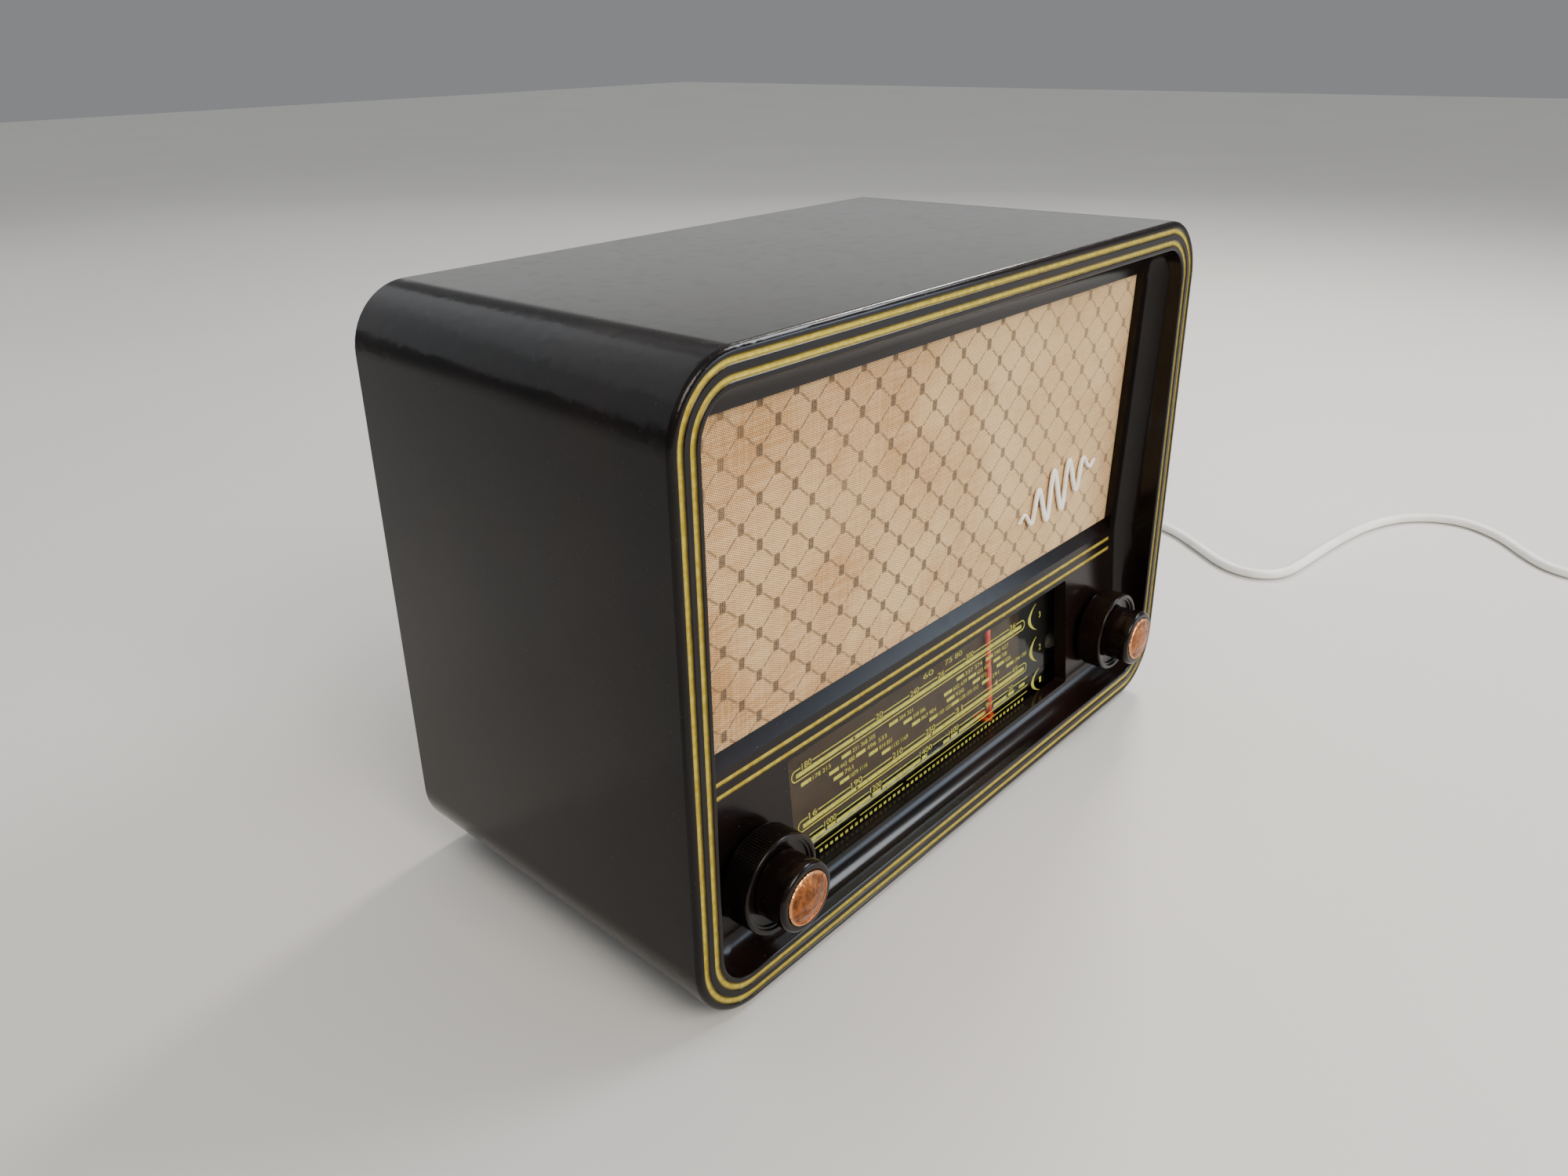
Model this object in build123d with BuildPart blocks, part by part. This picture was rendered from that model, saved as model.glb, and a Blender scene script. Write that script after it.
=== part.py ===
from build123d import *
import math
import os

# Compact valve table radio in a moulded Bakelite case. Millimetres.
# +X is to the right seen from the front, the front looks towards -Y and +Z is up.
# The origin is on the ground under the middle of the set, knobs included, mains lead left out.
# "Depth" is always counted backwards from the face of the front frame.

# ---------------------------------------------------------------- case moulding
WIDTH = 350.0
HEIGHT = 242.5
DEPTH = 173.0
FRONT_RADIUS = 28.5
REAR_RADIUS = 24.5
SIDE_DRAFT = 9.8          # each side comes in this much towards the back
BOTTOM_DRAFT = 4.1        # the bottom rises this much towards the back
TOP_DRAFT = 0.4
WALL = 4.0
FRONT_WALL = 3.5
EDGE_ROUND = 2.0
FOOT_HEIGHT = 3.0         # under the front edge

# ---------------------------------------------------------------- front frame and recess
FRAME = 13.0              # width of the flat frame round the recess
FRAME_INNER_ROUND = 0.8
GROOVE_INSETS = (4.35, 9.6)
GROOVE_RADIUS = 1.7
GROOVE_RISE = 0.8         # groove centre in front of the frame face
COVE_RADIUS = 10.0
CREASE_Z = 90.0           # where the upper and the lower floor of the recess meet
CREASE_DEPTH = 18.9
UPPER_LEAN = 2.0          # degrees, top forward
LOWER_LEAN = 5.0          # degrees, bottom forward
LEDGE_RISE = 6.0
LEDGE_BACK = 3.6
LEDGE_LIFT = 0.4
WINDOW_WIDTH = 303.0
WINDOW_TOP_Z = 221.0
GOLD_LINES_BELOW_CREASE = (4.0, 9.2)
GOLD_LINE_WIDTH = 1.7
GOLD_LINE_DEEP = 0.4

# ---------------------------------------------------------------- dial
DIAL_WIDTH = 212.0
DIAL_TOP_BELOW_CREASE = 12.0
DIAL_HEIGHT = 55.0
DIAL_CORNER = 1.5
DIAL_RIM = 4.0
DIAL_WALL = 6.4           # front of the panel to the front of the glass
GLASS_LAP = 3.0           # glass behind the rim, each side
GLASS_THICK = 2.0
POINTER_GAP = 1.2
POINTER_WIDTH = 3.0
POINTER_THICK = 2.2
PLATE_GAP = 0.8
PLATE_THICK = 1.0
SCALE_LEFT = -96.0
SCALE_RIGHT = 79.0
POINTER_X = 51.0

# ---------------------------------------------------------------- knobs and shafts
SHAFT_X = 131.0
SHAFT_Z = 45.5
SHAFT_HOLE_RADIUS = 6.5
INNER_SHAFT_RADIUS = 3.0
OUTER_SHAFT_RADIUS = 5.0
RUNNING = 0.05            # radial clearance of a turning fit
RING_RADIUS = 19.7
RING_FRONT = -0.5
RING_BACK = 12.0
RING_LIP = 2.3
RING_DISH = 2.7
KNOB_RADIUS = 13.7
KNOB_FRONT = -12.2
KNOB_GAP = 0.5
KNOB_EDGE = 1.4
CAP_RADIUS = 10.6
CAP_SINK = 1.2
CAP_EDGE = 1.7
KNOB_PROUD = 14.5
SHAFT_STEP = 2.2          # knob face to the end of its shaft
GRUB_RADIUS = 1.6
GRUB_LENGTH = 6.0
BUSH_RADIUS = 6.5
BUSH_PROUD = 7.0
NUT_ACROSS = 17.0
NUT_THICK = 2.5
CONTROL_RADIUS = 14.0
TONE_CAN_LENGTH = 10.0
VOLUME_CAN_LENGTH = 15.0
CAN_WALL = 2.0
WAFER_RADIUS = 14.5
WAFER_THICK = 1.6
WAFER_DEPTHS = (66.0, 76.0)
ROTOR_RADIUS = 7.8
ROTOR_GAP = 0.2
CLICK_PLATE = 30.0

# ---------------------------------------------------------------- dial drive
CORD_DEPTH = 36.0
DRIVE_CORD_RADIUS = 0.4
CORD_CLEAR = 0.05
RUN_Z = 19.0              # height of the run of cord that pulls the pointer
SPINDLE_WIND_RADIUS = 5.0
IDLER_RADIUS = 5.0
IDLER_RIM = 1.4
IDLER_WIDTH = 4.0
IDLER_XS = (-114.0, 104.0)
IDLER_PIN_RADIUS = 1.5
DRUM_X = 60.0
DRUM_Z = 88.0
DRUM_RADIUS = (SCALE_RIGHT - SCALE_LEFT) / math.pi
DRUM_RIM = 1.5
DRUM_WIDTH = 6.0
DRUM_WEB = 2.0
DRUM_HUB = 8.0
RAIL_RADIUS = 1.5
RAIL_DEPTH = 31.0
RAIL_Z = 18.5
CARRIAGE_WIDTH = 14.0

# ---------------------------------------------------------------- tuning capacitor
CAPACITOR_WIDTH = 44.0
CAPACITOR_FRONT = 54.0
CAPACITOR_LENGTH = 50.0
CAPACITOR_PLATE = 2.0
VANE_THICK = 0.8
VANE_PITCH = 4.0
VANE_COUNT = 9
VANE_RADIUS = 17.0

# ---------------------------------------------------------------- chassis
CHASSIS_WIDTH = 300.0
CHASSIS_FRONT = 48.0
CHASSIS_LENGTH = 100.0
CHASSIS_LOW = 14.0
CHASSIS_TOP = 62.0
SHEET = 1.2
BOLT_X = 126.0
BOLT_DEPTHS = (64.0, 134.0)
BOLT_RADIUS = 2.0
BOLT_HEAD_RADIUS = 4.0
BOLT_HEAD = 2.6
BOLT_SEAT_Z = 8.0
BOSS_RADIUS = 8.0

# ---------------------------------------------------------------- loudspeaker and baffle
CLOTH = 0.8
CLOTH_LAP = 3.0
BAFFLE = 5.0
BAFFLE_WIDTH = 330.0
BAFFLE_LOW = 2.0          # above the crease
BAFFLE_HIGH = 138.0
BAFFLE_SCREW_X = 160.0
BAFFLE_SCREW_HEIGHTS = (12.0, 126.0)
SCREW_RADIUS = 1.4
SCREW_HEAD_RADIUS = 3.2
SCREW_HEAD = 1.6
SCREW_LENGTH = 11.0
SCREW_BOSS = 5.5
SPEAKER_X = -75.0
SPEAKER_UP = 68.0         # above the crease
SPEAKER_RADIUS = 65.0
SPEAKER_OPENING = 57.0
SPEAKER_SHEET = 1.2
SPEAKER_DEEP = 40.0
MAGNET_RADIUS = 30.0
MAGNET_LENGTH = 22.0
COIL_RADIUS = 12.5
CONE_EDGE = 54.5
CONE_PAPER = 0.6

# ---------------------------------------------------------------- back
COVER_THICK = 2.5
COVER_RECESS = 2.0
COVER_GAP = 0.3
COVER_BOSS_IN = 10.0
COVER_BOSS_RADIUS = 6.5
COVER_BOSS_LENGTH = 20.0
VENT = (22.0, 4.0)
VENT_PITCH = (32.0, 11.0)
VENT_COUNT = (8, 7)
VENT_CENTRE_Z = 158.0
SOCKET_X = -60.0
SOCKET_Z = 40.0
SOCKET_SPACING = 19.0
SOCKET_RADIUS = 2.0
SOCKET_LENGTH = 16.0
SOCKET_BLOCK = (44.0, 14.0)
SOCKET_GAP = 1.0

# ---------------------------------------------------------------- mains lead
LEAD_RADIUS = 3.0
INLET_X = 118.0
INLET_Z = 30.0
RELIEF_NECK = 5.0
RELIEF_FLANGE = 8.0
RELIEF_LENGTH = 32.0
RELIEF_END = 4.0
COIL_CENTRE = (440.0, -288.0)
COIL_MEAN_RADIUS = 33.0
COIL_LAYERS = 2
PLUG_Z = 7.0
PLUG_GAP = 24.0
PLUG_NOSE = 18.0
PLUG_LENGTH = 34.0
PLUG_WIDTH = 35.0
PLUG_THICK = 14.0
PIN_RADIUS = 2.0
PIN_LENGTH = 19.0
PIN_SPACING = 19.0

FRONT_Y = KNOB_PROUD - (DEPTH + KNOB_PROUD) / 2
BACKWARDS = (0, 1, 0)
FAR = 400.0

os.makedirs("parts", exist_ok=True)


def save(piece, name):
    piece.label = name
    export_step(piece, f"parts/{name}.step")


def front_plane(depth):
    """Upright plane at a depth, seen from the front: local x is right and local y is up."""
    return Plane(origin=(0, FRONT_Y + depth, 0), x_dir=(1, 0, 0), z_dir=(0, -1, 0))


def shaft_plane(x, z):
    """Level plane through a shaft that runs backwards: local x is the radius, local y the depth."""
    return Plane(origin=(x, FRONT_Y, z), x_dir=(1, 0, 0), z_dir=(0, 0, 1))


def shaft_axis(x, z):
    return Axis((x, FRONT_Y, z), BACKWARDS)


def floor_plane(lean):
    """Floor of the recess through the crease; a positive lean brings its top forward."""
    angle = math.radians(lean)
    origin = (0, FRONT_Y + CREASE_DEPTH, CREASE_Z)
    return Plane(origin=origin, x_dir=(1, 0, 0), z_dir=(0, -math.cos(angle), -math.sin(angle)))


def outline(depth, inset=0.0):
    """Width, height, middle height and corner radius of the case at a depth."""
    share = depth / DEPTH
    width = WIDTH - 2 * (SIDE_DRAFT * share + inset)
    low = FOOT_HEIGHT + BOTTOM_DRAFT * share + inset
    high = FOOT_HEIGHT + HEIGHT - TOP_DRAFT * share - inset
    radius = FRONT_RADIUS + (REAR_RADIUS - FRONT_RADIUS) * share - inset
    return width, high - low, (high + low) / 2, radius


def case_block(first, last, inset):
    """Solid block with the tapered outline of the case between two depths."""
    with BuildPart() as block:
        for depth in (first, last):
            width, height, middle, radius = outline(depth, inset)
            with BuildSketch(front_plane(depth)):
                with Locations((0, middle)):
                    RectangleRounded(width, height, radius)
        loft()
    return block.part


def recess_block(floor, grow):
    """Coved recess with one flat floor, or its moulded back when grown by the front wall."""
    width, height, middle, radius = outline(0, FRAME - grow)
    with BuildPart() as block:
        with BuildSketch(front_plane(-1)):
            with Locations((0, middle)):
                RectangleRounded(width, height, radius)
        extrude(amount=3 * CREASE_DEPTH, dir=BACKWARDS)
        split(bisect_by=floor.offset(-grow), keep=Keep.TOP)
        fillet(block.faces().sort_by(Axis.Y)[-1].edges(), COVE_RADIUS + grow)
    return block.part


def recess(grow):
    """The recess with both its floors."""
    upper_block = recess_block(UPPER, grow)
    lower_block = recess_block(LOWER, grow)
    with BuildPart() as space:
        add(upper_block)
        add(lower_block, mode=Mode.INTERSECT)
    return space.part


def groove(inset):
    """Ring that cuts one concave groove into the frame."""
    width, height, middle, radius = outline(0, inset)
    with BuildPart() as ring:
        with BuildSketch(front_plane(-GROOVE_RISE), mode=Mode.PRIVATE) as run:
            with Locations((0, middle)):
                RectangleRounded(width, height, radius)
        path = run.sketch.face().outer_wire()
        with BuildSketch(Plane(origin=path @ 0, z_dir=path % 0)):
            Circle(GROOVE_RADIUS)
        sweep(path=path)
    return ring.part


def turned(points, x, z, round_front=0.0, rounds=0):
    """Turned piece round a shaft axis from (radius, depth) points, its first edges rounded."""
    with BuildPart() as piece:
        with BuildSketch(shaft_plane(x, z)):
            with BuildLine():
                Polyline(*points, close=True)
            make_face()
        revolve(axis=shaft_axis(x, z))
        if rounds:
            rims = piece.edges().filter_by(GeomType.CIRCLE).sort_by(Axis.Y)
            fillet(rims[:rounds], round_front)
    return piece.part


UPPER = floor_plane(UPPER_LEAN)
LOWER = floor_plane(-LOWER_LEAN)
CLOTH_BACK = UPPER.offset(-FRONT_WALL - CLOTH)
BAFFLE_BACK = UPPER.offset(-FRONT_WALL - CLOTH - BAFFLE)
GLASS_FRONT = LOWER.offset(-DIAL_WALL)
POINTER_PLANE = GLASS_FRONT.offset(-GLASS_THICK - POINTER_GAP)
PLATE_FRONT = POINTER_PLANE.offset(-POINTER_THICK - PLATE_GAP)
DIAL_MIDDLE = -DIAL_TOP_BELOW_CREASE - DIAL_HEIGHT / 2

# ================================================================ case
cover_front = DEPTH - COVER_RECESS - COVER_THICK
cover_width, cover_height, cover_middle, cover_radius = outline(DEPTH, WALL + COVER_GAP)
cover_screws = [
    (sx * (cover_width / 2 - COVER_BOSS_IN), cover_middle + sz * (cover_height / 2 - COVER_BOSS_IN))
    for sx in (-1, 1) for sz in (-1, 1)
]
baffle_screws = [(sx * BAFFLE_SCREW_X, up) for sx in (-1, 1) for up in BAFFLE_SCREW_HEIGHTS]
chassis_bolts_at = [(sx * BOLT_X, FRONT_Y + depth) for sx in (-1, 1) for depth in BOLT_DEPTHS]

outer_block = case_block(0, DEPTH, 0)
inner_block = case_block(FRONT_WALL, DEPTH + 1, WALL)
recess_space = recess(0)
recess_back = recess(FRONT_WALL)
grooves = [groove(inset) for inset in GROOVE_INSETS]

with BuildPart() as cavity:
    add(inner_block)
    add(recess_back, mode=Mode.SUBTRACT)
    with BuildSketch(LOWER):
        with Locations((0, DIAL_MIDDLE)):
            Rectangle(DIAL_WIDTH + 2 * DIAL_RIM, DIAL_HEIGHT + 2 * DIAL_RIM)
    extrude(amount=-DIAL_WALL, mode=Mode.SUBTRACT)
    with BuildSketch(CLOTH_BACK):
        with Locations(*baffle_screws):
            Circle(SCREW_BOSS)
    extrude(amount=CREASE_DEPTH, mode=Mode.SUBTRACT)
    with BuildSketch(front_plane(cover_front)):
        with Locations(*cover_screws):
            Circle(COVER_BOSS_RADIUS)
    extrude(amount=COVER_BOSS_LENGTH, mode=Mode.SUBTRACT)
    with BuildSketch(Plane.XY.offset(CHASSIS_LOW)):
        with Locations(*chassis_bolts_at):
            Circle(BOSS_RADIUS)
    extrude(amount=-CHASSIS_LOW, mode=Mode.SUBTRACT)

with BuildPart() as cabinet:
    add(outer_block)
    fillet(cabinet.faces().sort_by(Axis.Y)[0].edges(), EDGE_ROUND)
    add(recess_space, mode=Mode.SUBTRACT)
    inner_edge = cabinet.faces().sort_by(Axis.Y)[0].inner_wires()[0].edges()
    fillet(inner_edge, FRAME_INNER_ROUND)
    add(cavity.part, mode=Mode.SUBTRACT)
    for ring in grooves:
        add(ring, mode=Mode.SUBTRACT)
    # cloth window with its sloped ledge
    with BuildSketch(Plane.YZ):
        with BuildLine():
            crease_y = FRONT_Y + CREASE_DEPTH
            Polyline(
                (FRONT_Y, CREASE_Z + LEDGE_LIFT),
                (crease_y, CREASE_Z + LEDGE_LIFT),
                (crease_y + LEDGE_BACK, CREASE_Z + LEDGE_LIFT + LEDGE_RISE),
                (crease_y + DEPTH / 4, CREASE_Z + LEDGE_LIFT + LEDGE_RISE),
                (crease_y + DEPTH / 4, WINDOW_TOP_Z),
                (FRONT_Y, WINDOW_TOP_Z),
                close=True,
            )
        make_face()
    extrude(amount=WINDOW_WIDTH / 2, both=True, mode=Mode.SUBTRACT)
    # dial window and the two painted lines
    with BuildSketch(LOWER):
        with Locations((0, DIAL_MIDDLE)):
            RectangleRounded(DIAL_WIDTH, DIAL_HEIGHT, DIAL_CORNER)
    extrude(amount=DIAL_WALL + 1, both=True, mode=Mode.SUBTRACT)
    with BuildSketch(LOWER):
        with Locations(*[(0, -down) for down in GOLD_LINES_BELOW_CREASE]):
            Rectangle(WINDOW_WIDTH, GOLD_LINE_WIDTH)
    extrude(amount=-GOLD_LINE_DEEP, mode=Mode.SUBTRACT)
    # shaft holes
    with BuildSketch(front_plane(0)):
        with Locations((-SHAFT_X, SHAFT_Z), (SHAFT_X, SHAFT_Z)):
            Circle(SHAFT_HOLE_RADIUS)
    extrude(amount=2 * CREASE_DEPTH, dir=BACKWARDS, mode=Mode.SUBTRACT)
    # holes for screws and bolts
    with BuildSketch(CLOTH_BACK):
        with Locations(*baffle_screws):
            Circle(SCREW_RADIUS)
    extrude(amount=SCREW_LENGTH - BAFFLE, mode=Mode.SUBTRACT)
    with BuildSketch(front_plane(cover_front)):
        with Locations(*cover_screws):
            Circle(SCREW_RADIUS)
    extrude(amount=SCREW_LENGTH - COVER_THICK, mode=Mode.SUBTRACT)
    with BuildSketch(Plane.XY):
        with Locations(*chassis_bolts_at):
            Circle(BOLT_RADIUS)
    extrude(amount=CHASSIS_LOW, mode=Mode.SUBTRACT)
    with BuildSketch(Plane.XY):
        with Locations(*chassis_bolts_at):
            Circle(BOLT_HEAD_RADIUS + 0.5)
    extrude(amount=BOLT_SEAT_Z, mode=Mode.SUBTRACT)
save(cabinet.part, "cabinet")

FOOT_RADIUS = 8.0
FOOT_IN = (36.0, 20.0)
with BuildPart() as rubber_feet:
    foot_depths = (FOOT_IN[1], DEPTH - FOOT_IN[1])
    with BuildSketch(Plane.XY):
        with Locations(*[(sx * (WIDTH / 2 - FOOT_IN[0]), FRONT_Y + d) for sx in (-1, 1) for d in foot_depths]):
            Circle(FOOT_RADIUS)
    extrude(amount=FOOT_HEIGHT + BOTTOM_DRAFT + 1)
    add(outer_block, mode=Mode.SUBTRACT)
save(rubber_feet.part, "rubber_feet")

# ================================================================ cloth, baffle, badge
with BuildPart() as grille_cloth:
    cloth_low = LEDGE_RISE + LEDGE_LIFT - CLOTH_LAP
    cloth_high = WINDOW_TOP_Z - CREASE_Z + CLOTH_LAP
    with BuildSketch(UPPER.offset(-FRONT_WALL)):
        with Locations((0, (cloth_low + cloth_high) / 2)):
            Rectangle(WINDOW_WIDTH + 2 * CLOTH_LAP, cloth_high - cloth_low)
    extrude(amount=-CLOTH)
save(grille_cloth.part, "grille_cloth")

with BuildPart() as baffle_board:
    with BuildSketch(CLOTH_BACK):
        with Locations((0, (BAFFLE_LOW + BAFFLE_HIGH) / 2)):
            RectangleRounded(BAFFLE_WIDTH, BAFFLE_HIGH - BAFFLE_LOW, FRONT_RADIUS / 3)
        with Locations((SPEAKER_X, SPEAKER_UP)):
            Circle(SPEAKER_OPENING, mode=Mode.SUBTRACT)
        with Locations(*baffle_screws):
            Circle(SCREW_RADIUS, mode=Mode.SUBTRACT)
    extrude(amount=-BAFFLE)
save(baffle_board.part, "baffle_board")

BADGE_X = 94.0
BADGE_UP = 38.0
BADGE_LENGTH = 70.0
BADGE_HEIGHT = 12.0       # half the height of the tallest wave
BADGE_TILT = 11.0
BADGE_WAVES = 5
BADGE_WIRE = 1.4
badge_steps = BADGE_WAVES * 4
with BuildPart() as badge:
    badge_face = UPPER.offset(-FRONT_WALL + BADGE_WIRE)
    tilt = math.radians(BADGE_TILT)
    wave = []
    for step in range(badge_steps + 1):
        share = step / badge_steps
        along = (share - 0.5) * BADGE_LENGTH
        rise = BADGE_HEIGHT * math.sin(math.pi * share) * math.sin(2 * math.pi * BADGE_WAVES * share)
        wave.append((
            BADGE_X + along * math.cos(tilt) - rise * math.sin(tilt),
            BADGE_UP + along * math.sin(tilt) + rise * math.cos(tilt),
        ))
    with BuildLine(badge_face) as badge_line:
        Spline(*wave)
    badge_path = badge_line.wire()
    with BuildSketch(Plane(origin=badge_path @ 0, z_dir=badge_path % 0)):
        Circle(BADGE_WIRE)
    sweep(path=badge_path)
save(badge.part, "badge")

# ================================================================ dial
with BuildPart() as dial_glass:
    with BuildSketch(GLASS_FRONT):
        with Locations((0, DIAL_MIDDLE)):
            Rectangle(DIAL_WIDTH + 2 * GLASS_LAP, DIAL_HEIGHT + 2 * GLASS_LAP)
    extrude(amount=-GLASS_THICK)
save(dial_glass.part, "dial_glass")

PLATE_LIFT = 6.0          # lower edge of the plate above the lower edge of the window
LAMP_RADIUS = 4.5
LAMP_HOLE = 5.5
LAMP_XS = (-113.0, 113.0)
LAMP_UP = -50.0
HOLDER_WALL = 1.5
HOLDER_LENGTH = 6.0
LAMP_SUNK = 4.5
LAMP_LENGTH = 8.0
plate_low = -DIAL_TOP_BELOW_CREASE - DIAL_HEIGHT + PLATE_LIFT
plate_high = -DIAL_TOP_BELOW_CREASE + 2.0
PLATE_WIDTH = 240.0
with BuildPart() as dial_back_plate:
    with BuildSketch(PLATE_FRONT):
        with Locations((0, (plate_low + plate_high) / 2)):
            Rectangle(PLATE_WIDTH, plate_high - plate_low)
        with Locations(*[(x, LAMP_UP) for x in LAMP_XS]):
            Circle(LAMP_HOLE, mode=Mode.SUBTRACT)
        with Locations(*[(sx * SHAFT_X, SHAFT_Z - CREASE_Z) for sx in (-1, 1)]):
            Circle(SHAFT_HOLE_RADIUS + 1.5, mode=Mode.SUBTRACT)
    extrude(amount=-PLATE_THICK)
save(dial_back_plate.part, "dial_back_plate")

with BuildPart() as lamp_holders:
    with BuildSketch(PLATE_FRONT.offset(-PLATE_THICK)):
        with Locations(*[(x, LAMP_UP) for x in LAMP_XS]):
            Circle(LAMP_HOLE + HOLDER_WALL)
    extrude(amount=-HOLDER_LENGTH)
    with BuildSketch(PLATE_FRONT.offset(-PLATE_THICK)):
        with Locations(*[(x, LAMP_UP) for x in LAMP_XS]):
            Circle(LAMP_RADIUS)
    extrude(amount=-LAMP_SUNK, mode=Mode.SUBTRACT)
save(lamp_holders.part, "lamp_holders")

with BuildPart() as dial_lamps:
    with BuildSketch(PLATE_FRONT.offset(-PLATE_THICK - LAMP_SUNK)):
        with Locations(*[(x, LAMP_UP) for x in LAMP_XS]):
            Circle(LAMP_RADIUS)
    extrude(amount=LAMP_LENGTH)
    fillet(dial_lamps.edges().group_by(Axis.Y)[0], LAMP_RADIUS * 0.8)
save(dial_lamps.part, "dial_lamps")

BRACKET_XS = (-123.0, 113.0)
with BuildPart() as pointer_rail:
    with BuildSketch(Plane.YZ.offset(BRACKET_XS[0])):
        with Locations((FRONT_Y + RAIL_DEPTH, RAIL_Z)):
            Circle(RAIL_RADIUS)
    extrude(amount=BRACKET_XS[1] - BRACKET_XS[0])
    for x in BRACKET_XS:
        with BuildSketch(Plane.XY.offset(RAIL_Z - 3)):
            with Locations((x, FRONT_Y + (RAIL_DEPTH - 3 + CHASSIS_FRONT) / 2)):
                Rectangle(3, CHASSIS_FRONT - RAIL_DEPTH + 3)
        extrude(amount=2.5)
save(pointer_rail.part, "pointer_rail")

with BuildPart() as pointer_carriage:
    with BuildSketch(front_plane(RAIL_DEPTH - 3.5)):
        with Locations((POINTER_X, RAIL_Z + 0.75)):
            Rectangle(CARRIAGE_WIDTH, 6.5)
    extrude(amount=CORD_DEPTH - RAIL_DEPTH + 6, dir=BACKWARDS)
    with BuildSketch(Plane.YZ.offset(POINTER_X)):
        with Locations((FRONT_Y + RAIL_DEPTH, RAIL_Z)):
            Circle(RAIL_RADIUS + RUNNING)
        with Locations((FRONT_Y + CORD_DEPTH, RUN_Z)):
            Circle(DRIVE_CORD_RADIUS + 0.4)
    extrude(amount=CARRIAGE_WIDTH, both=True, mode=Mode.SUBTRACT)
save(pointer_carriage.part, "pointer_carriage")

pointer_top = -DIAL_TOP_BELOW_CREASE - 4.5
pointer_foot = RAIL_Z + 4.0
with BuildPart() as dial_pointer:
    with BuildSketch(POINTER_PLANE):
        low = pointer_foot - CREASE_Z
        with Locations((POINTER_X, (pointer_top + low) / 2)):
            Rectangle(POINTER_WIDTH, pointer_top - low)
    extrude(amount=-POINTER_THICK)
    foot_front = (dial_pointer.vertices().sort_by(Axis.Z)[0]).Y
    foot_back = FRONT_Y + RAIL_DEPTH + 2
    with BuildSketch(Plane.XY.offset(pointer_foot)):
        with Locations((POINTER_X, (foot_front + foot_back) / 2)):
            Rectangle(CARRIAGE_WIDTH - 6, foot_back - foot_front)
    extrude(amount=POINTER_THICK)
save(dial_pointer.part, "dial_pointer")

# ================================================================ knobs and shafts
ring_floor = RING_FRONT + RING_DISH
knob_back = ring_floor - KNOB_GAP
cap_floor = KNOB_FRONT + CAP_SINK
shaft_front = cap_floor + SHAFT_STEP
tone_can_front = CHASSIS_FRONT + SHEET
tone_can_back = tone_can_front + TONE_CAN_LENGTH
volume_can_back = tone_can_back + VOLUME_CAN_LENGTH
switch_back = WAFER_DEPTHS[1] + WAFER_THICK + 4


def grub(x, radius, depth):
    """Grub screw that points up at a shaft from below."""
    with BuildPart() as screw:
        with BuildSketch(Plane.XY.offset(SHAFT_Z - radius)):
            with Locations((x, FRONT_Y + depth)):
                Circle(GRUB_RADIUS)
        extrude(amount=-GRUB_LENGTH)
    return screw.part


def grub_hole(x, radius, depth):
    with BuildPart() as hole:
        with BuildSketch(Plane.XY.offset(SHAFT_Z - radius)):
            with Locations((x, FRONT_Y + depth)):
                Circle(GRUB_RADIUS)
        extrude(amount=-RING_RADIUS)
    return hole.part


RING_GRUB_DEPTH = (ring_floor + RING_BACK) / 2
KNOB_GRUB_DEPTH = (knob_back + shaft_front) / 2 + 1

for side, ring_name, knob_name in ((-1, "tone", "volume"), (1, "tuning", "band")):
    x = side * SHAFT_X
    ring_points = (
        (OUTER_SHAFT_RADIUS, RING_BACK), (RING_RADIUS - 1, RING_BACK), (RING_RADIUS, RING_BACK - 1),
        (RING_RADIUS, RING_FRONT), (RING_RADIUS - RING_LIP, RING_FRONT), (RING_RADIUS - RING_LIP, ring_floor),
        (OUTER_SHAFT_RADIUS, ring_floor),
    )
    ring_solid = turned(ring_points, x, SHAFT_Z, 0.8, 2)
    ring_hole = grub_hole(x, OUTER_SHAFT_RADIUS, RING_GRUB_DEPTH)
    with BuildPart() as ring_knob:
        add(ring_solid)
        add(ring_hole, mode=Mode.SUBTRACT)
    save(ring_knob.part, f"{ring_name}_ring")
    save(grub(x, OUTER_SHAFT_RADIUS, RING_GRUB_DEPTH), f"{ring_name}_grub_screw")

    knob_points = (
        (INNER_SHAFT_RADIUS, knob_back), (KNOB_RADIUS, knob_back), (KNOB_RADIUS - 0.2, KNOB_FRONT),
        (CAP_RADIUS, KNOB_FRONT), (CAP_RADIUS, cap_floor), (0, cap_floor),
        (0, shaft_front), (INNER_SHAFT_RADIUS, shaft_front),
    )
    knob_solid = turned(knob_points, x, SHAFT_Z, KNOB_EDGE, 1)
    knob_hole = grub_hole(x, INNER_SHAFT_RADIUS, KNOB_GRUB_DEPTH)
    with BuildPart() as inner_knob:
        add(knob_solid)
        add(knob_hole, mode=Mode.SUBTRACT)
    save(inner_knob.part, f"{knob_name}_knob")
    save(grub(x, INNER_SHAFT_RADIUS, KNOB_GRUB_DEPTH), f"{knob_name}_grub_screw")

    with BuildPart() as cap:
        with BuildSketch(shaft_plane(x, SHAFT_Z)):
            with BuildLine():
                Polyline((0, -KNOB_PROUD), (0, cap_floor), (CAP_RADIUS, cap_floor), (CAP_RADIUS, cap_floor - CAP_EDGE))
                dome = (KNOB_PROUD + cap_floor - CAP_EDGE)
                RadiusArc((CAP_RADIUS, cap_floor - CAP_EDGE), (0, -KNOB_PROUD), (CAP_RADIUS**2 + dome**2) / (2 * dome))
            make_face()
        revolve(axis=shaft_axis(x, SHAFT_Z))
    save(cap.part, f"{knob_name}_cap")

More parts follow.
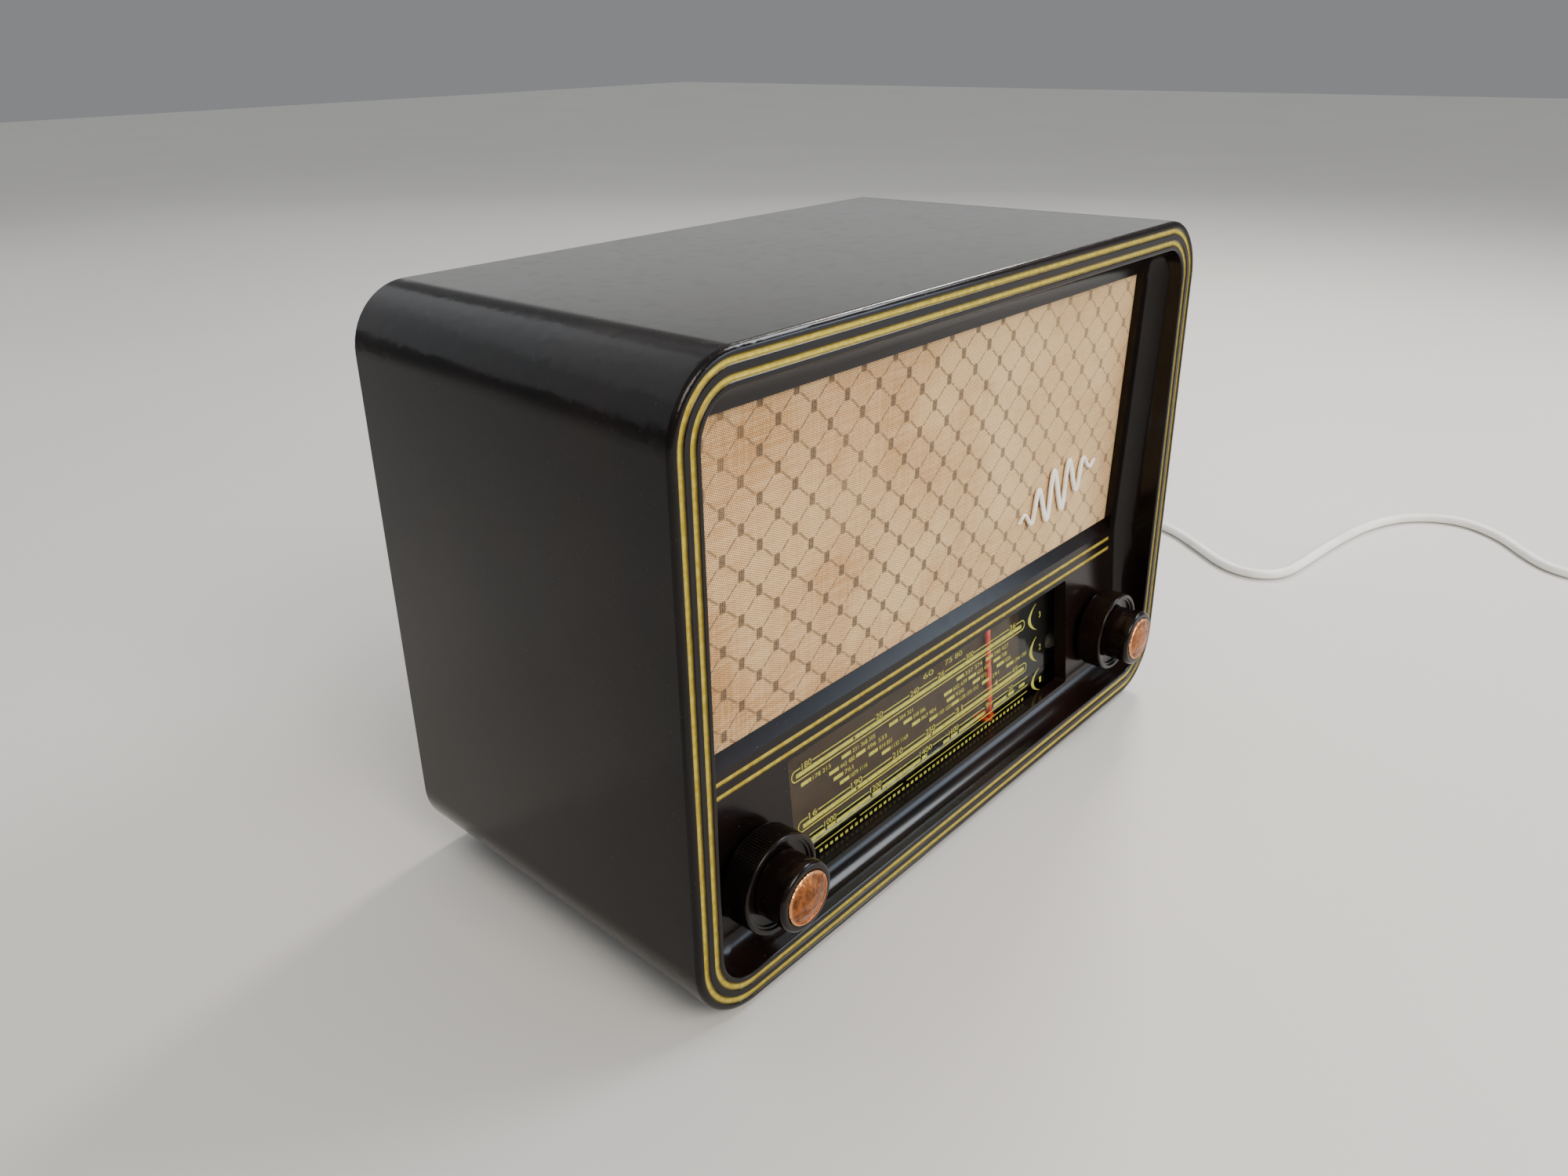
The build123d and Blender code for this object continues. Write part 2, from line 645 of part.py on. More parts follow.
volume_shaft = turned(
    ((0, shaft_front), (INNER_SHAFT_RADIUS, shaft_front), (INNER_SHAFT_RADIUS, volume_can_back - 3 * CAN_WALL),
     (0, volume_can_back - 3 * CAN_WALL)), -SHAFT_X, SHAFT_Z)
save(volume_shaft, "volume_shaft")

bore = INNER_SHAFT_RADIUS + RUNNING
tone_shaft_end = tone_can_back - 2 * CAN_WALL
tone_shaft = turned(
    ((bore, ring_floor), (OUTER_SHAFT_RADIUS, ring_floor), (OUTER_SHAFT_RADIUS, tone_shaft_end),
     (bore, tone_shaft_end)), -SHAFT_X, SHAFT_Z)
save(tone_shaft, "tone_shaft")

wind = SPINDLE_WIND_RADIUS - DRIVE_CORD_RADIUS - CORD_CLEAR
half_wind = DRUM_WIDTH / 2
tuning_shaft_end = tone_can_front + 1
tuning_shaft = turned(
    ((bore, ring_floor), (OUTER_SHAFT_RADIUS, ring_floor), (OUTER_SHAFT_RADIUS, CORD_DEPTH - half_wind),
     (wind, CORD_DEPTH - half_wind), (wind, CORD_DEPTH + half_wind), (OUTER_SHAFT_RADIUS, CORD_DEPTH + half_wind),
     (OUTER_SHAFT_RADIUS, tuning_shaft_end), (bore, tuning_shaft_end)), SHAFT_X, SHAFT_Z)
save(tuning_shaft, "tuning_shaft")

band_shaft = turned(
    ((0, shaft_front), (INNER_SHAFT_RADIUS, shaft_front), (INNER_SHAFT_RADIUS, switch_back), (0, switch_back)),
    SHAFT_X, SHAFT_Z)
save(band_shaft, "band_shaft")

with BuildPart() as band_rotors:
    for depth in WAFER_DEPTHS:
        with BuildSketch(front_plane(depth)):
            with Locations((SHAFT_X, SHAFT_Z)):
                Circle(ROTOR_RADIUS)
                Circle(INNER_SHAFT_RADIUS, mode=Mode.SUBTRACT)
        extrude(amount=WAFER_THICK, dir=BACKWARDS)
save(band_rotors.part, "band_rotors")

# ================================================================ controls behind the chassis front
outer_bore = OUTER_SHAFT_RADIUS + RUNNING
bush_front = CHASSIS_FRONT - BUSH_PROUD
tone_control = turned(
    ((outer_bore, bush_front), (BUSH_RADIUS, bush_front), (BUSH_RADIUS, tone_can_front),
     (CONTROL_RADIUS, tone_can_front), (CONTROL_RADIUS, tone_can_back), (bore, tone_can_back),
     (bore, tone_can_back - CAN_WALL), (outer_bore, tone_can_back - CAN_WALL)), -SHAFT_X, SHAFT_Z)
save(tone_control, "tone_control")

volume_control = turned(
    ((bore, tone_can_back), (CONTROL_RADIUS, tone_can_back), (CONTROL_RADIUS, volume_can_back), (0, volume_can_back),
     (0, volume_can_back - CAN_WALL), (bore, volume_can_back - CAN_WALL)), -SHAFT_X, SHAFT_Z)
save(volume_control, "volume_control")

switch_bush = turned(
    ((outer_bore, bush_front), (BUSH_RADIUS, bush_front), (BUSH_RADIUS, tone_can_front),
     (CONTROL_RADIUS, tone_can_front), (CONTROL_RADIUS, tone_can_front + CAN_WALL),
     (outer_bore, tone_can_front + CAN_WALL)), SHAFT_X, SHAFT_Z)
click_depth = tone_can_front + CAN_WALL + 4
rod_spots = [(SHAFT_X + sx * (WAFER_RADIUS - 4), SHAFT_Z) for sx in (-1, 1)]
with BuildPart() as band_switch:
    add(switch_bush)
    with BuildSketch(front_plane(click_depth)):
        with Locations((SHAFT_X, SHAFT_Z)):
            RectangleRounded(CLICK_PLATE, CLICK_PLATE * 0.7, 3)
            Circle(bore, mode=Mode.SUBTRACT)
    extrude(amount=CAN_WALL, dir=BACKWARDS)
    for depth in WAFER_DEPTHS:
        with BuildSketch(front_plane(depth)):
            with Locations((SHAFT_X, SHAFT_Z)):
                Circle(WAFER_RADIUS)
                Circle(ROTOR_RADIUS + ROTOR_GAP, mode=Mode.SUBTRACT)
        extrude(amount=WAFER_THICK, dir=BACKWARDS)
    with BuildSketch(front_plane(tone_can_front + CAN_WALL / 2)):
        with Locations(*rod_spots):
            Circle(1.5)
    extrude(amount=switch_back - tone_can_front - CAN_WALL, dir=BACKWARDS)
    with BuildSketch(front_plane(tone_can_front)):
        with Locations((SHAFT_X, SHAFT_Z)):
            SlotOverall(CLICK_PLATE, 9)
            Circle(CONTROL_RADIUS - 1, mode=Mode.SUBTRACT)
    extrude(amount=CAN_WALL, dir=BACKWARDS)
save(band_switch.part, "band_switch")

with BuildPart() as control_nuts:
    with BuildSketch(front_plane(CHASSIS_FRONT)):
        with Locations((-SHAFT_X, SHAFT_Z), (SHAFT_X, SHAFT_Z)):
            RegularPolygon(NUT_ACROSS / 2, 6, major_radius=False)
            Circle(BUSH_RADIUS, mode=Mode.SUBTRACT)
    extrude(amount=NUT_THICK)
save(control_nuts.part, "control_nuts")

# ================================================================ chassis
chassis_middle = FRONT_Y + CHASSIS_FRONT + CHASSIS_LENGTH / 2
VALVE_DEPTH = 126.0
VALVE_XS = (-125.0, -80.0, -35.0, 12.0, 58.0)
VALVE_HEIGHTS = (56.0, 56.0, 60.0, 72.0, 72.0)
VALVE_RADIUS = 10.8
VALVE_GLASS = 1.0
SOCKET_RING = 12.5
TAB = 26.0
idler_z = RUN_Z + IDLER_RADIUS
with BuildPart() as chassis:
    with BuildSketch(Plane.XY.offset(CHASSIS_LOW)):
        with Locations((0, chassis_middle)):
            Rectangle(CHASSIS_WIDTH, CHASSIS_LENGTH)
    extrude(amount=CHASSIS_TOP - CHASSIS_LOW)
    offset(amount=-SHEET, openings=chassis.faces().sort_by(Axis.Z)[0])
    with BuildSketch(Plane.XY.offset(CHASSIS_LOW)):
        for sx in (-1, 1):
            for depth in BOLT_DEPTHS:
                with Locations((sx * (CHASSIS_WIDTH - TAB - 12) / 2, FRONT_Y + depth)):
                    Rectangle(TAB + 12, TAB / 2)
    extrude(amount=SHEET)
    with BuildSketch(Plane.XY):
        with Locations(*chassis_bolts_at):
            Circle(BOLT_RADIUS)
    extrude(amount=CHASSIS_LOW + SHEET + 1, mode=Mode.SUBTRACT)
    with BuildSketch(Plane.XY.offset(CHASSIS_TOP - 2 * SHEET)):
        with Locations(*[(x, FRONT_Y + VALVE_DEPTH) for x in VALVE_XS]):
            Circle(VALVE_RADIUS)
    extrude(amount=4 * SHEET, mode=Mode.SUBTRACT)
    with BuildSketch(front_plane(CHASSIS_FRONT - 1)):
        with Locations((-SHAFT_X, SHAFT_Z), (SHAFT_X, SHAFT_Z)):
            Circle(BUSH_RADIUS)
    extrude(amount=SHEET + 2, dir=BACKWARDS, mode=Mode.SUBTRACT)
    # riveted pins of the two idler pulleys, each with a shoulder and a head
    idler_front = CORD_DEPTH - IDLER_WIDTH / 2 - CORD_CLEAR
    idler_back = CORD_DEPTH + IDLER_WIDTH / 2 + CORD_CLEAR
    for first, last, radius in (
        (idler_back, CHASSIS_FRONT, IDLER_PIN_RADIUS + 1.5),
        (idler_front, idler_back, IDLER_PIN_RADIUS),
        (idler_front - 1, idler_front, IDLER_PIN_RADIUS + 1),
    ):
        with BuildSketch(front_plane(first)):
            with Locations(*[(x, idler_z) for x in IDLER_XS]):
                Circle(radius)
        extrude(amount=last - first, dir=BACKWARDS)
save(chassis.part, "chassis")

with BuildPart() as chassis_bolts:
    bolt_top = CHASSIS_LOW + SHEET + 5
    with BuildSketch(Plane.XY.offset(BOLT_SEAT_Z - BOLT_HEAD)):
        with Locations(*chassis_bolts_at):
            Circle(BOLT_HEAD_RADIUS)
    extrude(amount=BOLT_HEAD)
    with BuildSketch(Plane.XY.offset(BOLT_SEAT_Z)):
        with Locations(*chassis_bolts_at):
            Circle(BOLT_RADIUS)
    extrude(amount=bolt_top - BOLT_SEAT_Z)
    with BuildSketch(Plane.XY.offset(CHASSIS_LOW + SHEET)):
        with Locations(*chassis_bolts_at):
            RegularPolygon(BOLT_RADIUS + 1.5, 6, major_radius=False)
    extrude(amount=3)
save(chassis_bolts.part, "chassis_bolts")

# ================================================================ valves and cans on the chassis
with BuildPart() as valve_sockets:
    spots = [(x, FRONT_Y + VALVE_DEPTH) for x in VALVE_XS]
    with BuildSketch(Plane.XY.offset(CHASSIS_TOP)):
        with Locations(*spots):
            Circle(SOCKET_RING)
    extrude(amount=3)
    with BuildSketch(Plane.XY.offset(CHASSIS_TOP)):
        with Locations(*spots):
            Circle(VALVE_RADIUS)
    extrude(amount=-6)
    with BuildSketch(Plane.XY.offset(CHASSIS_TOP + 3)):
        with Locations(*spots):
            with PolarLocations(6, 9, start_angle=18, angular_range=324, endpoint=True):
                Circle(0.5)
    extrude(amount=-7, mode=Mode.SUBTRACT)
save(valve_sockets.part, "valve_sockets")

valve_seat = CHASSIS_TOP + 3
with BuildPart() as valves:
    for x, tall in zip(VALVE_XS, VALVE_HEIGHTS):
        upright = Plane(origin=(x, FRONT_Y + VALVE_DEPTH, valve_seat), x_dir=(1, 0, 0), z_dir=(0, -1, 0))
        with BuildSketch(upright):
            with BuildLine():
                top = tall - VALVE_RADIUS
                Polyline((0, VALVE_GLASS), (0, 0), (VALVE_RADIUS, 0), (VALVE_RADIUS, top))
                RadiusArc((VALVE_RADIUS, top), (0, tall), -VALVE_RADIUS)
                inside = VALVE_RADIUS - VALVE_GLASS
                Polyline((0, tall), (0, top + inside))
                RadiusArc((0, top + inside), (inside, top), inside)
                Polyline((inside, top), (inside, VALVE_GLASS), (0, VALVE_GLASS))
            make_face()
        revolve(axis=Axis((x, FRONT_Y + VALVE_DEPTH, 0), (0, 0, 1)))
        with BuildSketch(Plane.XY.offset(valve_seat)):
            with Locations((x, FRONT_Y + VALVE_DEPTH)):
                with PolarLocations(6, 9, start_angle=18, angular_range=324, endpoint=True):
                    Circle(0.5)
        extrude(amount=-6)
save(valves.part, "valves")

with BuildPart() as valve_cages:
    inside = VALVE_RADIUS - VALVE_GLASS
    for x, tall in zip(VALVE_XS, VALVE_HEIGHTS):
        for low, high, radius in ((8, 9, inside), (9, tall - 18, 6), (tall - 18, tall - 17, inside)):
            with BuildSketch(Plane.XY.offset(valve_seat + low)):
                with Locations((x, FRONT_Y + VALVE_DEPTH)):
                    Circle(radius)
            extrude(amount=high - low)
save(valve_cages.part, "valve_cages")

IF_CANS_AT = ((8.0, 78.0), (104.0, 126.0))
with BuildPart() as if_cans:
    with BuildSketch(Plane.XY.offset(CHASSIS_TOP)):
        with Locations(*[(x, FRONT_Y + depth) for x, depth in IF_CANS_AT]):
            RectangleRounded(25, 25, 3)
    extrude(amount=58)
    fillet(if_cans.faces().group_by(Axis.Z)[-1].edges(), 1.5)
save(if_cans.part, "if_cans")

with BuildPart() as electrolytic_can:
    with BuildSketch(Plane.XY.offset(CHASSIS_TOP)):
        with Locations((112, FRONT_Y + 80)):
            Circle(15)
    extrude(amount=75)
    fillet(electrolytic_can.edges().group_by(Axis.Z)[-1], 2)
save(electrolytic_can.part, "electrolytic_can")

with BuildPart() as mains_dropper:
    with BuildSketch(Plane.XY.offset(CHASSIS_TOP)):
        with Locations((-136, FRONT_Y + 92)):
            Circle(7)
            Circle(4, mode=Mode.SUBTRACT)
    extrude(amount=60)
save(mains_dropper.part, "mains_dropper")

with BuildPart() as output_transformer:
    with Locations((-88, FRONT_Y + 72, CHASSIS_TOP)):
        Box(44, 18, 36, align=(Align.CENTER, Align.CENTER, Align.MIN))
    with Locations((-88, FRONT_Y + 72, CHASSIS_TOP + 7)):
        Box(26, 32, 22, align=(Align.CENTER, Align.CENTER, Align.MIN))
save(output_transformer.part, "output_transformer")

with BuildPart() as coil_formers:
    with BuildSketch(Plane.XY.offset(CHASSIS_TOP - SHEET)):
        with Locations(*[(x, FRONT_Y + 100) for x in (70, 86, 102, 118)]):
            Circle(5)
    extrude(amount=-30)
save(coil_formers.part, "coil_formers")

# ================================================================ dial drive
def belt(circles):
    """Closed line round circles (x, z, radius), listed anticlockwise seen from the front."""
    normals = []
    count = len(circles)
    for index, (x1, z1, r1) in enumerate(circles):
        x2, z2, r2 = circles[(index + 1) % count]
        heading = math.atan2(z2 - z1, x2 - x1)
        normals.append(heading - math.pi / 2 + math.asin((r1 - r2) / math.hypot(x2 - x1, z2 - z1)))
    with BuildLine(front_plane(CORD_DEPTH)) as loop:
        for index, (x, z, radius) in enumerate(circles):
            start, end = normals[index - 1], normals[index]
            CenterArc((x, z), radius, math.degrees(start), math.degrees(end - start) % 360)
            nx, nz, next_radius = circles[(index + 1) % count]
            here = (x + radius * math.cos(end), z + radius * math.sin(end))
            Line(here, (nx + next_radius * math.cos(end), nz + next_radius * math.sin(end)))
    return loop.wire()


drive_circles = (
    (IDLER_XS[0], idler_z, IDLER_RADIUS),
    (IDLER_XS[1], idler_z, IDLER_RADIUS),
    (SHAFT_X, SHAFT_Z, SPINDLE_WIND_RADIUS),
    (DRUM_X, DRUM_Z, DRUM_RADIUS),
)
drive_line = belt(drive_circles)
with BuildPart() as dial_cord:
    with BuildSketch(Plane(origin=drive_line @ 0, z_dir=drive_line % 0)):
        Circle(DRIVE_CORD_RADIUS)
    sweep(path=drive_line)
save(dial_cord.part, "dial_cord")


def grooved(radius, rim, width, web, hub, bore_radius):
    """(radius, depth) points of a pulley half section with a square cord groove."""
    floor = radius - DRIVE_CORD_RADIUS - CORD_CLEAR
    front, back = CORD_DEPTH - width / 2, CORD_DEPTH + width / 2
    web_front, web_back = CORD_DEPTH - web / 2, CORD_DEPTH + web / 2
    points = [(bore_radius, front), (hub, front)]
    if web < width:
        points += [(hub, web_front), (floor - 4, web_front), (floor - 4, front)]
    points += [(radius + rim, front), (radius + rim, CORD_DEPTH - 1), (floor, CORD_DEPTH - 1)]
    points += [(floor, CORD_DEPTH + 1), (radius + rim, CORD_DEPTH + 1), (radius + rim, back)]
    if web < width:
        points += [(floor - 4, back), (floor - 4, web_back), (hub, web_back)]
    points += [(hub, back), (bore_radius, back)]
    return points


for name, x in zip(("left_idler", "right_idler"), IDLER_XS):
    floor = IDLER_RADIUS - DRIVE_CORD_RADIUS - CORD_CLEAR
    rim = IDLER_RADIUS + IDLER_RIM
    front, back = CORD_DEPTH - IDLER_WIDTH / 2, CORD_DEPTH + IDLER_WIDTH / 2
    pulley = turned(
        ((IDLER_PIN_RADIUS + RUNNING, front), (rim, front), (rim, CORD_DEPTH - 1), (floor, CORD_DEPTH - 1),
         (floor, CORD_DEPTH + 1), (rim, CORD_DEPTH + 1), (rim, back), (IDLER_PIN_RADIUS + RUNNING, back)), x, idler_z)
    save(pulley, name)

SPRING_LENGTH = 26.0
SPRING_RADIUS = 2.4
SPRING_WIRE = 0.3
SPRING_TURNS = 13
drum_disc = turned(
    grooved(DRUM_RADIUS, DRUM_RIM, DRUM_WIDTH, DRUM_WEB, DRUM_HUB, INNER_SHAFT_RADIUS), DRUM_X, DRUM_Z)
spring_up = DRUM_RADIUS * 0.55
with BuildPart() as drive_drum:
    add(drum_disc)
    with BuildSketch(front_plane(CORD_DEPTH - DRUM_WEB)):
        with Locations((DRUM_X, DRUM_Z + spring_up)):
            Rectangle(SPRING_LENGTH, 8)
        with Locations((DRUM_X, DRUM_Z)):
            with PolarLocations(DRUM_RADIUS * 0.58, 3, start_angle=210, angular_range=120, endpoint=True):
                Circle(11)
    extrude(amount=2 * DRUM_WEB, dir=BACKWARDS, mode=Mode.SUBTRACT)
save(drive_drum.part, "drive_drum")

with BuildPart() as drum_spring:
    start = (DRUM_X - SPRING_LENGTH / 2 + SPRING_WIRE, FRONT_Y + CORD_DEPTH, DRUM_Z + spring_up)
    reach = SPRING_LENGTH - 2 * SPRING_WIRE
    with BuildLine() as spring_line:
        Helix(pitch=reach / SPRING_TURNS, height=reach, radius=SPRING_RADIUS, center=start, direction=(1, 0, 0))
    spring_path = spring_line.wire()
    with BuildSketch(Plane(origin=spring_path @ 0, z_dir=spring_path % 0)):
        Circle(SPRING_WIRE)
    sweep(path=spring_path, is_frenet=True)
save(drum_spring.part, "drum_spring")

capacitor_back = CAPACITOR_FRONT + CAPACITOR_LENGTH
with BuildPart() as tuning_frame:
    frame_middle = FRONT_Y + (CAPACITOR_FRONT + capacitor_back) / 2
    with Locations((DRUM_X, frame_middle, CHASSIS_TOP)):
        Box(CAPACITOR_WIDTH, CAPACITOR_LENGTH, CAPACITOR_PLATE, align=(Align.CENTER, Align.CENTER, Align.MIN))
    for depth in (CAPACITOR_FRONT, capacitor_back - CAPACITOR_PLATE):
        with BuildSketch(front_plane(depth)):
            with Locations((DRUM_X, (CHASSIS_TOP + DRUM_Z + 22) / 2)):
                Rectangle(CAPACITOR_WIDTH, DRUM_Z + 22 - CHASSIS_TOP)
            with Locations((DRUM_X, DRUM_Z)):
                Circle(bore, mode=Mode.SUBTRACT)
        extrude(amount=CAPACITOR_PLATE, dir=BACKWARDS)
save(tuning_frame.part, "tuning_frame")

first_vane = CAPACITOR_FRONT + CAPACITOR_PLATE + 4
stator_inner = DRUM_X + 5.6
stator_outer = DRUM_X + CAPACITOR_WIDTH / 2 - 1
with BuildPart() as tuning_stator:
    for index in range(VANE_COUNT):
        with BuildSketch(front_plane(first_vane + index * VANE_PITCH)):
            with Locations(((stator_inner + stator_outer) / 2, DRUM_Z)):
                Rectangle(stator_outer - stator_inner, 42)
        extrude(amount=VANE_THICK, dir=BACKWARDS)
    with BuildSketch(front_plane(CAPACITOR_FRONT + CAPACITOR_PLATE)):
        with Locations(*[(stator_outer - 1.5, DRUM_Z + sz * 19.3) for sz in (-1, 1)]):
            Circle(1.4)
    extrude(amount=CAPACITOR_LENGTH - 2 * CAPACITOR_PLATE, dir=BACKWARDS)
save(tuning_stator.part, "tuning_stator")

with BuildPart() as tuning_rotor:
    rotor_front = CORD_DEPTH - DRUM_WIDTH / 2
    with BuildSketch(front_plane(rotor_front)):
        with Locations((DRUM_X, DRUM_Z)):
            Circle(INNER_SHAFT_RADIUS)
    extrude(amount=capacitor_back + 1 - rotor_front, dir=BACKWARDS)
    with BuildSketch(front_plane(CAPACITOR_FRONT + CAPACITOR_PLATE + 1)):
        with Locations((DRUM_X, DRUM_Z)):
            Circle(INNER_SHAFT_RADIUS + 1.5)
    extrude(amount=CAPACITOR_LENGTH - 2 * CAPACITOR_PLATE - 2, dir=BACKWARDS)
    for index in range(VANE_COUNT):
        with BuildSketch(front_plane(first_vane + (index + 0.5) * VANE_PITCH)):
            with Locations((DRUM_X, DRUM_Z)):
                Circle(VANE_RADIUS)
            with Locations((DRUM_X, DRUM_Z + VANE_RADIUS)):
                Rectangle(2 * VANE_RADIUS, 2 * VANE_RADIUS, mode=Mode.SUBTRACT)
        extrude(amount=VANE_THICK, dir=BACKWARDS)
save(tuning_rotor.part, "tuning_rotor")

# ================================================================ loudspeaker
speaker_origin = BAFFLE_BACK.from_local_coords(Vector(SPEAKER_X, SPEAKER_UP, 0))
speaker_plane = Plane(origin=speaker_origin, x_dir=(1, 0, 0), z_dir=BAFFLE_BACK.y_dir)
speaker_line = Axis(speaker_origin, -BAFFLE_BACK.z_dir)


def speaker_turned(points):
    """Turned loudspeaker piece from (radius, distance behind the baffle) points."""
    with BuildPart() as piece:
        with BuildSketch(speaker_plane):
            with BuildLine():
                Polyline(*points, close=True)
            make_face()
        revolve(axis=speaker_line)
    return piece.part


neck = COIL_RADIUS + 4
speaker_basket = speaker_turned((
    (SPEAKER_OPENING, 0), (SPEAKER_RADIUS, 0), (SPEAKER_RADIUS, SPEAKER_SHEET),
    (SPEAKER_OPENING + 3, SPEAKER_SHEET), (MAGNET_RADIUS, SPEAKER_DEEP), (neck, SPEAKER_DEEP),
    (neck, SPEAKER_DEEP - SPEAKER_SHEET), (MAGNET_RADIUS - 1, SPEAKER_DEEP - SPEAKER_SHEET),
    (SPEAKER_OPENING, SPEAKER_SHEET)))
save(speaker_basket, "speaker_basket")

magnet_back = SPEAKER_DEEP + MAGNET_LENGTH
speaker_magnet = speaker_turned((
    (0, SPEAKER_DEEP), (COIL_RADIUS - 1, SPEAKER_DEEP), (COIL_RADIUS - 1, magnet_back - 8),
    (COIL_RADIUS + 1, magnet_back - 8), (COIL_RADIUS + 1, SPEAKER_DEEP), (MAGNET_RADIUS, SPEAKER_DEEP),
    (MAGNET_RADIUS, magnet_back), (0, magnet_back)))
save(speaker_magnet, "speaker_magnet")

CONE_NECK_DEEP = 28.0
coil_in, coil_out = COIL_RADIUS - 0.3, COIL_RADIUS + 0.3
speaker_cone = speaker_turned((
    (CONE_EDGE, 2), (CONE_EDGE, 2 + CONE_PAPER), (coil_out, CONE_NECK_DEEP + CONE_PAPER),
    (coil_out, SPEAKER_DEEP + 6), (coil_in, SPEAKER_DEEP + 6), (coil_in, CONE_NECK_DEEP),
    (0, CONE_NECK_DEEP - 5), (0, CONE_NECK_DEEP - 5 - CONE_PAPER), (coil_in, CONE_NECK_DEEP - CONE_PAPER)))
save(speaker_cone, "speaker_cone")

# ================================================================ back
with BuildPart() as back_cover:
    with BuildSketch(front_plane(cover_front)):
        with Locations((0, cover_middle)):
            RectangleRounded(cover_width, cover_height, cover_radius)
        with Locations((0, VENT_CENTRE_Z)):
            with GridLocations(*VENT_PITCH, *VENT_COUNT):
                SlotOverall(*VENT, mode=Mode.SUBTRACT)
        with Locations(*cover_screws):
            Circle(SCREW_RADIUS, mode=Mode.SUBTRACT)
        with Locations((SOCKET_X, SOCKET_Z)):
            Rectangle(SOCKET_BLOCK[0] + 2 * SOCKET_GAP, SOCKET_BLOCK[1] + 2 * SOCKET_GAP, mode=Mode.SUBTRACT)
        with Locations((INLET_X, INLET_Z)):
            Circle(RELIEF_NECK, mode=Mode.SUBTRACT)
    extrude(amount=COVER_THICK, dir=BACKWARDS)
save(back_cover.part, "back_cover")

with BuildPart() as wood_screws:
    cover_back = front_plane(cover_front + COVER_THICK)
    for plane, spots in ((cover_back, cover_screws), (BAFFLE_BACK, baffle_screws)):
        with BuildSketch(plane):
            with Locations(*spots):
                Circle(SCREW_RADIUS)
        extrude(amount=SCREW_LENGTH)
        with BuildSketch(plane):
            with Locations(*spots):
                Circle(SCREW_HEAD_RADIUS)
        extrude(amount=-SCREW_HEAD)
save(wood_screws.part, "wood_screws")

chassis_back = CHASSIS_FRONT + CHASSIS_LENGTH
with BuildPart() as aerial_sockets:
    with BuildSketch(front_plane(chassis_back)):
        with Locations((SOCKET_X, SOCKET_Z)):
            RectangleRounded(*SOCKET_BLOCK, 2)
    extrude(amount=DEPTH - COVER_RECESS - chassis_back, dir=BACKWARDS)
    with BuildSketch(front_plane(DEPTH - COVER_RECESS)):
        with Locations(*[(SOCKET_X + side * SOCKET_SPACING / 2, SOCKET_Z) for side in (-1, 1)]):
            Circle(SOCKET_RADIUS)
    extrude(amount=SOCKET_LENGTH, mode=Mode.SUBTRACT)
save(aerial_sockets.part, "aerial_sockets")

# ================================================================ mains lead
cover_back_depth = cover_front + COVER_THICK
strain_relief = turned(
    ((0, cover_front - 2), (RELIEF_NECK + 1, cover_front - 2), (RELIEF_NECK + 1, cover_front),
     (RELIEF_NECK, cover_front), (RELIEF_NECK, cover_back_depth), (RELIEF_FLANGE, cover_back_depth),
     (RELIEF_FLANGE, cover_back_depth + 2), (RELIEF_NECK + 0.5, cover_back_depth + 3),
     (RELIEF_END, cover_back_depth + RELIEF_LENGTH), (0, cover_back_depth + RELIEF_LENGTH)), INLET_X, INLET_Z)
save(strain_relief, "strain_relief")

coil_x, coil_y = COIL_CENTRE
lead_exit = (INLET_X, FRONT_Y + cover_back_depth + RELIEF_LENGTH, INLET_Z)
FLOOR_Z = LEAD_RADIUS + 0.2
coil_outer = COIL_MEAN_RADIUS + 2 * LEAD_RADIUS
lead_route = [
    lead_exit,
    (INLET_X, 143, INLET_Z),
    (120, 168, 17),
    (134, 200, FLOOR_Z),
    (158, 226, FLOOR_Z),
    (198, 238, FLOOR_Z),
    (244, 226, FLOOR_Z),
    (290, 190, FLOOR_Z),
    (332, 142, FLOOR_Z),
    (368, 88, FLOOR_Z),
    (389, 42, FLOOR_Z),
    (386, 4, FLOOR_Z),
    (364, -27, FLOOR_Z),
    (343, -54, FLOOR_Z),
    (341, -75, FLOOR_Z),
    (354, -89, FLOOR_Z),
    (383, -92, FLOOR_Z),
    (430, -96, FLOOR_Z),
    (476, -104, FLOOR_Z),
    (509, -121, FLOOR_Z),
    (523, -150, FLOOR_Z),
    (509, -179, FLOOR_Z),
    (482, -201, FLOOR_Z),
    (466, -219, FLOOR_Z),
    (464, -244, FLOOR_Z),
    (471, -270, FLOOR_Z),
]


def route_radii(points):
    """Arc radius at each corner of a route, as large as its two runs allow."""
    radii = []
    for before, here, after in zip(points, points[1:], points[2:]):
        first = Vector(*here) - Vector(*before)
        second = Vector(*after) - Vector(*here)
        turn = math.radians(first.get_angle(second))
        radii.append(0.45 * min(first.length, second.length) / math.tan(turn / 2))
    return radii


with BuildPart() as mains_cord_coil:
    with BuildSketch(Plane.XY):
        with Locations(COIL_CENTRE):
            Circle(coil_outer)
            Circle(COIL_MEAN_RADIUS - 2 * LEAD_RADIUS, mode=Mode.SUBTRACT)
    extrude(amount=2 * COIL_LAYERS * LEAD_RADIUS + 1)
    fillet(mains_cord_coil.edges().filter_by(GeomType.CIRCLE), LEAD_RADIUS * 0.8)
save(mains_cord_coil.part, "mains_cord_coil")

